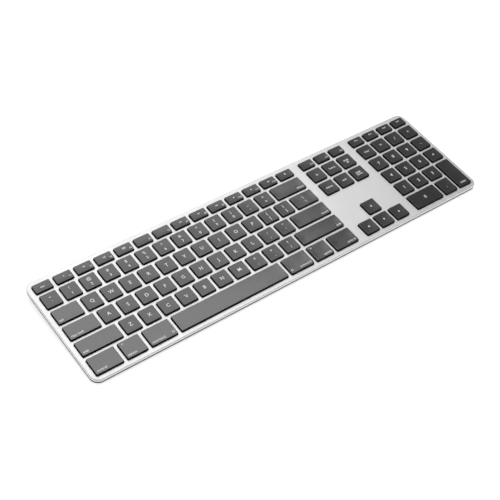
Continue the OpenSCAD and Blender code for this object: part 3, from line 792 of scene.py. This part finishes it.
bump = add_node(tree, "ShaderNodeBump", None, {
    "Height": pits.outputs["Fac"], "Strength": 0.25, "Distance": BEAD * MM,
})
tree.links.new(bump.outputs["Normal"], shader.inputs["Normal"])

bm = bmesh.new()
ROLL_STEPS = 5
rolled = [
    (ROLL - ROLL * sin(a), -ROLL + ROLL * cos(a))
    for a in (pi / 2 * k / ROLL_STEPS for k in range(ROLL_STEPS + 1))
]
skin = rolled + [
    (0, -RIM_DEPTH + 0.08), (0.08, -RIM_DEPTH), (RIM_THICKNESS, -RIM_DEPTH),
    (RIM_THICKNESS, -PLATE_THICKNESS),
]
plate_rings = plate_loops(bm, skin)
bridge(bm, plate_rings)
BREAK = 0.12


@cache
def well_wall(width, depth):
    """The wall of one key well, standing at the middle of the deck."""
    well = bmesh.new()
    bridge(well, [
        round_loop(
            well, (0, 0), width + 2 * (WELL_CLEARANCE + out), depth + 2 * (WELL_CLEARANCE + out),
            CAP_CORNER + WELL_CLEARANCE + out, z,
        )
        for out, z in ((BREAK, 0), (BREAK * 0.3, -BREAK * 0.3), (0, -BREAK), (0, -PLATE_THICKNESS))
    ])
    return as_mesh(well)


for x, y, width, depth in (key for group in keys.values() for key in group):
    stamp(bm, well_wall(width, depth), x, y)
one_post = bmesh.new()
post = [
    ring_loop(one_post, (0, 0), radius, z)
    for radius, z in ((POST_RADIUS, -PLATE_THICKNESS), (POST_RADIUS, POST_FOOT),
                      (SCREW_SHANK_R, POST_FOOT), (SCREW_SHANK_R, -PLATE_THICKNESS))
]
bridge(one_post, post)
bmesh.ops.edgeloop_fill(one_post, edges=post[-1])
post_mesh = as_mesh(one_post)
for place in screw_places:
    stamp(bm, post_mesh, *place)
for level in (0, -PLATE_THICKNESS):
    fill(bm, [[e for e in bm.edges if e.is_boundary and abs(e.verts[0].co.z - level) < 0.001]])
finish_piece(bm, "deck_plate_anodised", [anodised], "case", ["deck_plate"], crease=40)


# ---- Support plate and membrane ----
# A thin rolled steel sheet, zinc plated, lies on the cover's floor and carries the printed switch film.

# Zinc-plated steel: a cool grey metal with the faint long streaks that rolling leaves.
zinc_steel, tree, shader = start_material("steel_rolled_zinc_plated", Metallic=1.0, Roughness=0.38)
place = add_node(tree, "ShaderNodeTexCoord").outputs["Object"]
drawn = add_node(tree, "ShaderNodeMapping", None, {"Vector": place, "Scale": (20, 900, 900)})
streaks = add_node(tree, "ShaderNodeTexNoise", None, {
    "Vector": drawn.outputs["Vector"], "Scale": 1.0, "Detail": 3.0,
})
tone = add_node(tree, "ShaderNodeValToRGB", None, {"Fac": streaks.outputs["Fac"]})
tone.color_ramp.elements[0].color = linear("#B9BCC0")
tone.color_ramp.elements[1].color = linear("#CDD0D3")
tree.links.new(tone.outputs["Color"], shader.inputs["Base Color"])
bump = add_node(tree, "ShaderNodeBump", None, {
    "Height": streaks.outputs["Fac"], "Strength": 0.15, "Distance": 0.0001,
})
tree.links.new(bump.outputs["Normal"], shader.inputs["Normal"])

# Polyester film printed with silver ink: milky and glossy, with paler bands where the tracks run.
switch_film, tree, shader = start_material("polyester_film_printed", Roughness=0.22, IOR=1.6)
place = add_node(tree, "ShaderNodeTexCoord").outputs["Object"]
TRACK_SPACING = 2.4
tracks = add_node(tree, "ShaderNodeTexWave", {"bands_direction": "Y"}, {
    "Vector": place, "Scale": pi / 10 / (TRACK_SPACING * MM), "Distortion": 1.5, "Detail": 1.0,
})
tone = add_node(tree, "ShaderNodeValToRGB", None, {"Fac": tracks.outputs["Fac"]})
tone.color_ramp.elements[0].position = 0.55
tone.color_ramp.elements[1].position = 0.7
tone.color_ramp.elements[0].color = linear("#C9CEC8")
tone.color_ramp.elements[1].color = linear("#8F9498")
tree.links.new(tone.outputs["Color"], shader.inputs["Base Color"])


# Polyimide film with etched copper: amber and slightly glossy.
tail_film, tree, shader = start_material("polyimide_film_etched", Roughness=0.3, IOR=1.7)
place = add_node(tree, "ShaderNodeTexCoord").outputs["Object"]
conductors = add_node(tree, "ShaderNodeTexWave", None, {"Vector": place, "Scale": pi / 10 / (1.0 * MM)})
tone = add_node(tree, "ShaderNodeValToRGB", None, {"Fac": conductors.outputs["Fac"]})
tone.color_ramp.elements[0].color = linear("#C98A3A")
tone.color_ramp.elements[1].color = linear("#B06B2E")
tree.links.new(tone.outputs["Color"], shader.inputs["Base Color"])

dress("support_plate", zinc_steel)
dress("membrane", switch_film)
dress("membrane_tail", tail_film)


# ---- Rubber domes ----
# Under each cap stands a dome of milky silicone, moulded in one sheet and cut apart. It is the key's
# spring: it buckles as the key goes down and pushes it back.

CAP_RISE = 2.0
CAP_ROOF = 1.0
SKIRT_DROP = 0.6
TRAVEL = 1.8
BOSS_HEIGHT = 0.6
MEMBRANE_TOP = -SKIRT_DROP - TRAVEL - 0.5
ROOF_UNDER = CAP_RISE - CAP_ROOF
DOME_HEIGHT = ROOF_UNDER - BOSS_HEIGHT - MEMBRANE_TOP


def flatten(piece):
    """Gives the piece a mesh of its own; its height is not changed."""
    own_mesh(piece)


# Silicone rubber, moulded: soft, milky and slightly see-through, with a dull skin.
silicone, tree, shader = start_material(
    "silicone_moulded_milky", Roughness=0.45, IOR=1.41, Subsurface_Weight=0.3, Subsurface_Scale=0.001,
)
place = add_node(tree, "ShaderNodeTexCoord").outputs["Object"]
cloud = add_node(tree, "ShaderNodeTexNoise", None, {"Vector": place, "Scale": 400.0, "Detail": 2.0})
tone = add_node(tree, "ShaderNodeValToRGB", None, {"Fac": cloud.outputs["Fac"]})
tone.color_ramp.elements[0].color = linear("#D5D4CC")
tone.color_ramp.elements[1].color = linear("#E4E3DC")
tree.links.new(tone.outputs["Color"], shader.inputs["Base Color"])

DOME_STEPS = 20
SHORT_DEPTH = 12


@cache
def dome(foot):
    """One dome with that foot radius: an outline from crown to foot and back up inside, turned round."""
    bm = bmesh.new()
    outline = [
        (0, 3.3), (1.0, 3.3), (1.3, 3.1), (1.4, 2.4), (foot - 0.5, 0.9), (foot - 0.12, 0.45), (foot, 0.3),
        (foot, 0), (foot - 0.45, 0), (foot - 0.5, 0.4), (foot - 0.9, 0.9), (1.0, 2.3), (0.85, 2.85),
        (0, 2.85),
    ]
    chain = [bm.verts.new((out, 0, MEMBRANE_TOP + up * DOME_HEIGHT / 3.3)) for out, up in outline]
    edges = [bm.edges.new(pair) for pair in zip(chain, chain[1:])]
    bmesh.ops.spin(
        bm, geom=chain + edges, cent=(0, 0, 0), axis=(0, 0, 1), angle=2 * pi, steps=DOME_STEPS,
        use_merge=True,
    )
    return as_mesh(bm)


for body, group in keys.items():
    bm = bmesh.new()
    for x, y, width, depth in group:
        stamp(bm, dome(1.8 if depth < SHORT_DEPTH else 2.3), x, y)
    domes = finish_piece(
        bm, "domes_" + body, [silicone], "case", ["rubber_domes"], crease=50,
    )
    flatten(domes)


# ---- Scissor frames ----
# Two acetal frames cross like scissors under each cap and are pinned where they cross. They keep the
# cap level as it goes down and fold flat beneath it.

SCISSOR_WIDTH = 11
SCISSOR_BAR = 0.8
SCISSOR_THICKNESS = 0.7
PIN_RADIUS = 0.175
INNER_WIDTH = SCISSOR_WIDTH - 2 * SCISSOR_BAR - 2 * RUN
scissor_rise = ROOF_UNDER - MEMBRANE_TOP - SCISSOR_THICKNESS - 0.4
scissor_middle = (MEMBRANE_TOP + ROOF_UNDER) / 2

# Acetal, injection moulded: white, waxy and slippery, so its highlights are soft but bright.
acetal, tree, shader = start_material("acetal_moulded_white", Roughness=0.3, IOR=1.48)
place = add_node(tree, "ShaderNodeTexCoord").outputs["Object"]
cloud = add_node(tree, "ShaderNodeTexNoise", None, {"Vector": place, "Scale": 250.0})
tone = add_node(tree, "ShaderNodeValToRGB", None, {"Fac": cloud.outputs["Fac"]})
tone.color_ramp.elements[0].color = linear("#DEDEDA")
tone.color_ramp.elements[1].color = linear("#E8E8E4")
tree.links.new(tone.outputs["Color"], shader.inputs["Base Color"])


def scissor_frame(bm, width, length, angle):
    """A flat ring with broken edges, leaning about its middle."""
    soft = 0.1
    half = SCISSOR_THICKNESS / 2
    section = [
        (soft, half), (0, half - soft), (0, soft - half), (soft, -half),
        (SCISSOR_BAR, -half), (SCISSOR_BAR, half), (soft, half),
    ]
    frame_bm = bmesh.new()
    bridge(frame_bm, [
        round_loop(frame_bm, (0, 0), width - 2 * inset, length - 2 * inset, 0.5, z) for inset, z in section
    ])
    lean_over = Matrix.Translation((0, 0, scissor_middle)) @ Matrix.Rotation(angle, 4, "X")
    bmesh.ops.transform(frame_bm, matrix=lean_over, verts=frame_bm.verts)
    stamp(bm, as_mesh(frame_bm))


SHORT_FRAME = 6.5
LONG_FRAME = 9.5


def frame_length(depth):
    """Length of the frames under a cap of that depth."""
    return SHORT_FRAME if depth < SHORT_DEPTH else LONG_FRAME


@cache
def scissor_pair(length):
    """Two crossed frames and the pins that join them."""
    bm = bmesh.new()
    angle = asin(scissor_rise / length)
    scissor_frame(bm, SCISSOR_WIDTH, length, angle)
    scissor_frame(bm, INNER_WIDTH, length, -angle)
    for side in (-1, 1):
        reach = side * (INNER_WIDTH + RUN + SCISSOR_BAR) / 2
        pin = Matrix.Translation((reach, 0, scissor_middle)) @ Matrix.Rotation(pi / 2, 4, "Y")
        bmesh.ops.create_cone(
            bm, cap_ends=True, segments=10, radius1=PIN_RADIUS, radius2=PIN_RADIUS,
            depth=SCISSOR_BAR, matrix=pin,
        )
    return as_mesh(bm)


for body, group in keys.items():
    bm = bmesh.new()
    for x, y, width, depth in group:
        stamp(bm, scissor_pair(frame_length(depth)), x, y)
    scissors = finish_piece(
        bm, "scissors_" + body, [acetal], "case",
        ["scissor_outer_frames", "scissor_inner_frames"],
    )
    flatten(scissors)


# ---- Stabiliser wires ----
# A bent spring-steel wire under each of the widest caps makes both ends go down together.

WIRE_RADIUS = 0.4
WIRE_END_INSET = 2.6
WIRE_FOOT = 3
wire_back = (5.9, MEMBRANE_TOP + WIRE_RADIUS + 0.05)
wire_tip = (-1, ROOF_UNDER - WIRE_RADIUS - 0.05)


def wire_mesh(points):
    """A round wire along these points, as a closed mesh."""
    curve = bpy.data.curves.new("wire", "CURVE")
    curve.dimensions = "3D"
    curve.bevel_depth = WIRE_RADIUS
    curve.bevel_resolution = 3
    curve.use_fill_caps = True
    line = curve.splines.new("POLY")
    line.points.add(len(points) - 1)
    for target, point in zip(line.points, points):
        target.co = (*point, 1)
    rod = bpy.data.objects.new("wire", curve)
    mesh = bpy.data.meshes.new_from_object(rod)
    bpy.data.objects.remove(rod)
    return mesh


WIDE_CAP = 2 * PITCH - KEY_GAP - 0.1
for body, group in keys.items():
    wide = [key for key in group if max(key[2:]) > WIDE_CAP]
    if not wide:
        continue
    bm = bmesh.new()
    for x, y, width, depth in wide:
        turn = Matrix.Translation((x, y, 0)) @ Matrix.Rotation(pi / 2 if depth > width else 0, 4, "Z")
        reach = max(width, depth) / 2 - WIRE_END_INSET
        path = [(-reach + WIRE_FOOT, *wire_tip), (-reach, *wire_tip), (-reach, *wire_back)]
        path += [(-px, py, pz) for px, py, pz in reversed(path)]
        mesh = wire_mesh([turn @ Vector(point) for point in path])
        bm.from_mesh(mesh)
    wires = finish_piece(
        bm, "stabilisers_" + body, [zinc_steel], "case", ["stabiliser_wires"], crease=60,
    )
    flatten(wires)


# ---- Keycaps ----
# Each cap is moulded in charcoal ABS: a shallow dished top with a satin finish on a plain skirt. The skirt
# and the lower part of the edge roll are painted near-black as painted shade for the shaded sides of the
# caps. Under the roof are the boss that sits on the dome and the clips that hold the scissors.

CAP_WALL = 0.9
CAP_EDGE = 0.4
DISH = 0.22
BOSS_RADIUS = 1.6
CLIP = (2, 0.5, 1)
INNER_CORNER = 0.3
CLIP_CLEARANCE = 0.3
POLISHED_WIDTH = 19

satin_abs = moulded_plastic("keycap_abs_satin", "#1E1E20", "#242426", 0.32, 0.3, 0.12, 0.5)
# Caps wider than POLISHED_WIDTH come from a mould with a higher polish.
wide_abs = moulded_plastic("keycap_abs_polished", "#1E1E20", "#242426", 0.24, 0.3, 0.1, 0.55)
# Painted shade: the skirt is painted nearly black so that the caps' sides read dark, where the light does not
# fall on them.
skirt_abs_painted_shade = moulded_plastic("keycap_skirt_painted_shade", "#050506", "#080809", 0.6, 0.3, 0.1, 0.15)
cap_finishes = [satin_abs, skirt_abs_painted_shade, wide_abs]


def dished(width, depth, px, py):
    """Height of a cap's top at a point: a shallow dish that runs level along a long cap."""
    reach = min(width, depth) / 2
    across = max(0, abs(px) - width / 2 + reach) / reach
    along = max(0, abs(py) - depth / 2 + reach) / reach
    return CAP_RISE - DISH * max(0, 1 - across ** 2) * max(0, 1 - along ** 2)


@cache
def keycap(width, depth):
    """A hollow cap of that size, standing at the middle of the deck."""
    bm = bmesh.new()

    def loop(inset, z):
        cuts = (int(width / 2), int(depth / 2))
        corner = max(CAP_CORNER - inset, INNER_CORNER)
        return round_loop(bm, (0, 0), width - 2 * inset, depth - 2 * inset, corner, z, cuts)

    skirt = [
        loop(CAP_WALL, ROOF_UNDER), loop(CAP_WALL, -SKIRT_DROP), loop(0.06, -SKIRT_DROP),
        loop(0, -SKIRT_DROP + 0.06),
    ]
    roll = [
        loop(CAP_EDGE * (1 - cos(a)), CAP_RISE - CAP_EDGE * (1 - sin(a)))
        for a in (0, pi / 8, pi / 4, 3 * pi / 8, pi / 2)
    ]
    middle = min(width, depth) / 2 - 0.6
    top = [roll[-1]] + [
        loop(CAP_EDGE + (middle - CAP_EDGE) * part, CAP_RISE) for part in (0.1, 0.25, 0.45, 0.7, 1)
    ]
    for v in {v for ring in top for edge in ring for v in edge.verts}:
        v.co.z = dished(width, depth, v.co.x, v.co.y)
    finish = 2 if width > POLISHED_WIDTH else 0
    bridge(bm, skirt + roll[:3], 1)
    bridge(bm, roll[2:] + top[1:], finish)
    for face in bmesh.ops.edgeloop_fill(bm, edges=top[-1])["faces"]:
        face.material_index = finish
    for face in bmesh.ops.edgeloop_fill(bm, edges=skirt[0])["faces"]:
        face.material_index = 1
    boss = Matrix.Translation((0, 0, ROOF_UNDER - BOSS_HEIGHT / 2 + 0.05))
    before = set(bm.faces)
    bmesh.ops.create_cone(
        bm, cap_ends=True, segments=20, radius1=BOSS_RADIUS, radius2=BOSS_RADIUS,
        depth=BOSS_HEIGHT + 0.1, matrix=boss,
    )
    length = frame_length(depth)
    clip_y = length / 2 * cos(asin(scissor_rise / length)) + CLIP_CLEARANCE + CLIP[1] / 2
    for side in (-1, 1):
        for end in (-1, 1):
            seat = (side * SCISSOR_WIDTH / 3, end * clip_y, ROOF_UNDER - CLIP[2] / 2 + 0.05)
            clip = Matrix.Translation(seat) @ Matrix.Diagonal((CLIP[0], CLIP[1], CLIP[2] + 0.1, 1))
            bmesh.ops.create_cube(bm, size=1, matrix=clip)
    for face in set(bm.faces) - before:
        face.material_index = 1
    return as_mesh(bm)


for body, group in keys.items():
    bm = bmesh.new()
    for x, y, width, depth in group:
        stamp(bm, keycap(width, depth), x, y)
    finish_piece(bm, "caps_" + body, cap_finishes, body, [body], crease=50, merge=0.0001)


# ---- Legends ----
# Pale grey letters, digits and small signs are laser marked on the caps: thin, flat and level with
# the satin surface, so they follow the dish of each cap.

LEGEND_PROUD = 0.03
CAP_HEIGHT_SHARE = 0.69
BOLDNESS = 0.006
SIGN_BACK = 0.7

# Foamed ABS, laser marked: chalky and pale, a little uneven where the beam passed.
marked_abs, tree, shader = start_material("abs_laser_marked", Roughness=0.7, IOR=1.53)
place = add_node(tree, "ShaderNodeTexCoord").outputs["Object"]
passes = add_node(tree, "ShaderNodeTexNoise", None, {"Vector": place, "Scale": 900.0})
tone = add_node(tree, "ShaderNodeValToRGB", None, {"Fac": passes.outputs["Fac"]})
tone.color_ramp.elements[0].color = linear("#F2F2F2")
tone.color_ramp.elements[1].color = linear("#FCFCFC")
tree.links.new(tone.outputs["Color"], shader.inputs["Base Color"])

# How a legend sits on a cap: (size, side of the cap across, offset, side along, offset, alignment)
styles = {
    "letter": (5.0, 0, 0, 0, 0, "CENTER"),
    "shifted": (4.3, 0, 0, 0, 3.0, "CENTER"),
    "digit": (4.3, 0, 0, 0, -2.9, "CENTER"),
    "word": (3.3, 0, 0, 0, 0, "CENTER"),
    "upper_word": (3.3, 0, 0, 0, 1.5, "CENTER"),
    "lower_word": (3.3, 0, 0, 0, -1.4, "CENTER"),
    "front_word": (3.3, 0, 0, -1, 4.6, "CENTER"),
    "left_word": (3.3, -1, 1.7, -1, 3.2, "LEFT"),
    "right_word": (3.3, 1, -1.7, -1, 3.2, "RIGHT"),
    "number": (2.3, 1, -1.2, -1, 3.0, "RIGHT"),
    "back_number": (2.6, 0, 0.5, 0, 1.2, "CENTER"),
    "corner": (2.2, -1, 2.4, 1, -2.6, "LEFT"),
}


def lettering(cap_mesh, text, style, width, depth):
    """Adds a line of lettering to the legends of a cap."""
    size, across, shift_x, along, shift_y, align = styles[style]
    curve = bpy.data.curves.new("lettering", "FONT")
    curve.body = text
    curve.size = size
    curve.align_x = align
    curve.offset = BOLDNESS * size
    curve.fill_mode = "FRONT"
    curve.resolution_u = 3
    words = bpy.data.objects.new("lettering", curve)
    mesh = bpy.data.meshes.new_from_object(words)
    bpy.data.objects.remove(words)
    x = across * width / 2 + shift_x
    y = along * depth / 2 + shift_y - CAP_HEIGHT_SHARE * size / 2
    stamp(cap_mesh, mesh, x, y)


def bar(bm, x, y, width, height):
    """A small level rectangle."""
    made = bmesh.ops.create_grid(bm, x_segments=1, y_segments=1, size=0.5)["verts"]
    spread = Matrix.Translation((x, y, 0)) @ Matrix.Diagonal((width, height, 1, 1))
    bmesh.ops.transform(bm, matrix=spread, verts=made)


def frame_mark(bm, x, y, width, height, line=0.25):
    """An open rectangle."""
    for side in (-1, 1):
        bar(bm, x + side * (width - line) / 2, y, line, height)
        bar(bm, x, y + side * (height - line) / 2, width - 2 * line, line)


def pointer(bm, x, y, size, towards):
    """A triangle that points at that angle, counted from +X."""
    turn = Matrix.Translation((x, y, 0)) @ Matrix.Rotation(radians(towards - 90), 4, "Z")
    bmesh.ops.create_circle(bm, cap_ends=True, segments=3, radius=size / 2, matrix=turn)


def sun(bm, size):
    """A disc with rays round it."""
    bmesh.ops.create_circle(bm, cap_ends=True, segments=16, radius=size / 4)
    for k in range(8):
        turn = Matrix.Rotation(k * pi / 4, 4, "Z") @ Matrix.Translation((size * 0.42, 0, 0))
        made = bmesh.ops.create_grid(bm, x_segments=1, y_segments=1, size=0.5)["verts"]
        bmesh.ops.transform(bm, matrix=turn @ Matrix.Diagonal((size * 0.16, 0.22, 1, 1)), verts=made)


def speaker(bm, waves):
    """A loudspeaker with that many waves in front of it."""
    bar(bm, -0.9, 0, 0.5, 0.9)
    pointer(bm, -0.4, 0, 1.7, 180)
    for k in range(waves):
        bar(bm, 0.5 + 0.55 * k, 0, 0.22, 0.9 + 0.5 * k)


def windows(bm):
    frame_mark(bm, -0.8, 0.3, 1.4, 1.1)
    frame_mark(bm, 0.9, 0.4, 1.2, 0.9)
    frame_mark(bm, 0.2, -0.8, 1.4, 0.8)


def squares(bm):
    for column in (-1, 0, 1):
        for row in (-0.5, 0.5):
            bar(bm, column * 1.1, row * 1.1, 0.8, 0.8)


def skip(bm, towards):
    for step in (-0.6, 0.6):
        pointer(bm, step, 0, 1.6, towards)


def play_pause(bm):
    pointer(bm, -0.7, 0, 1.6, 0)
    for step in (0.4, 0.9):
        bar(bm, step, 0, 0.25, 1.3)


def eject(bm):
    pointer(bm, 0, 0.3, 2.0, 90)
    bar(bm, 0, -0.7, 1.7, 0.3)


def pairs(text):
    """Two signs for each cap, such as 2 and @: the plain one in front, the shifted one behind."""
    return [[("digit", low), ("shifted", high)] for low, high in text.split()]


function_signs = [
    None, lambda bm: sun(bm, 1.6), lambda bm: sun(bm, 2.3), windows, squares, None, None,
    lambda bm: skip(bm, 180), play_pause, lambda bm: skip(bm, 0),
    lambda bm: speaker(bm, 0), lambda bm: speaker(bm, 1), lambda bm: speaker(bm, 2), eject,
]
function_words = [[("word", "esc")]] + [[("number", f"F{n}")] for n in range(1, 13)] + [[]]
words_on = {
    "function_row_keys": function_words,
    "number_row_keys": pairs("`~ 1! 2@ 3# 4$ 5% 6^ 7& 8* 9( 0) -_ =+") + [[("right_word", "delete")]],
    "top_row_keys": [[("left_word", "tab")]] + [[("letter", c)] for c in "QWERTYUIOP"] + pairs("[{ ]} \\|"),
    "home_row_keys": [[("left_word", "caps lock")]] + [[("letter", c)] for c in "ASDFGHJKL"]
    + pairs(";: '\"") + [[("right_word", "return")]],
    "lower_row_keys": [[("left_word", "shift")]] + [[("letter", c)] for c in "ZXCVBNM"]
    + pairs(",< .> /?") + [[("right_word", "shift")]],
    "modifier_keys": [
        [("left_word", "control")], [("left_word", "option"), ("corner", "alt")], [("left_word", "command")],
        [("right_word", "command")], [("right_word", "option"), ("corner", "alt")],
        [("right_word", "control")],
    ],
    "space_bar": [[]],
    "key_fn": [[("word", "fn")]], "key_home": [[("word", "home")]],
    "key_page_up": [[("upper_word", "page"), ("lower_word", "up")]],
    "key_forward_delete": [[("word", "delete")]], "key_end": [[("word", "end")]],
    "key_page_down": [[("upper_word", "page"), ("lower_word", "down")]],
    "key_clear": [[("word", "clear")]], "key_enter": [[("front_word", "enter")]],
    "key_equals": [[("letter", "=")]], "key_divide": [[("letter", "/")]], "key_multiply": [[("letter", "*")]],
    "key_minus": [[("letter", "-")]], "key_plus": [[("letter", "+")]], "key_point": [[("letter", ".")]],
}
words_on |= {f"key_{n}": [[("letter", str(n))]] for n in range(10)}
words_on |= {f"key_f{n}": [[("number" if n < 16 else "back_number", f"F{n}")]] for n in range(13, 20)}
arrow_turns = {"key_right": 0, "key_up": 90, "key_left": 180, "key_down": 270}

for body, group in keys.items():
    bm = bmesh.new()
    for index, (x, y, width, depth) in enumerate(group):
        on_cap = bmesh.new()
        if body in arrow_turns:
            pointer(on_cap, 0, 0, 2.6, arrow_turns[body])
        else:
            for style, text in words_on[body][index]:
                lettering(on_cap, text, style, width, depth)
        if body == "function_row_keys" and function_signs[index]:
            before = set(on_cap.verts)
            function_signs[index](on_cap)
            sign = [v for v in on_cap.verts if v not in before]
            bmesh.ops.translate(on_cap, vec=(0.4, SIGN_BACK, 0), verts=sign)
        if body == "modifier_keys" and index in (2, 3):
            side = 1 if index == 2 else -1
            frame_mark(on_cap, side * (width / 2 - 2.8), -depth / 2 + 3.6, 2, 2, 0.35)
        for v in on_cap.verts:
            v.co.z = dished(width, depth, v.co.x, v.co.y) + LEGEND_PROUD
        stamp(bm, as_mesh(on_cap), x, y)
    if bm.faces:
        finish_piece(bm, "legends_" + body, [marked_abs], body, merge=0.00001)
    else:
        bm.free()
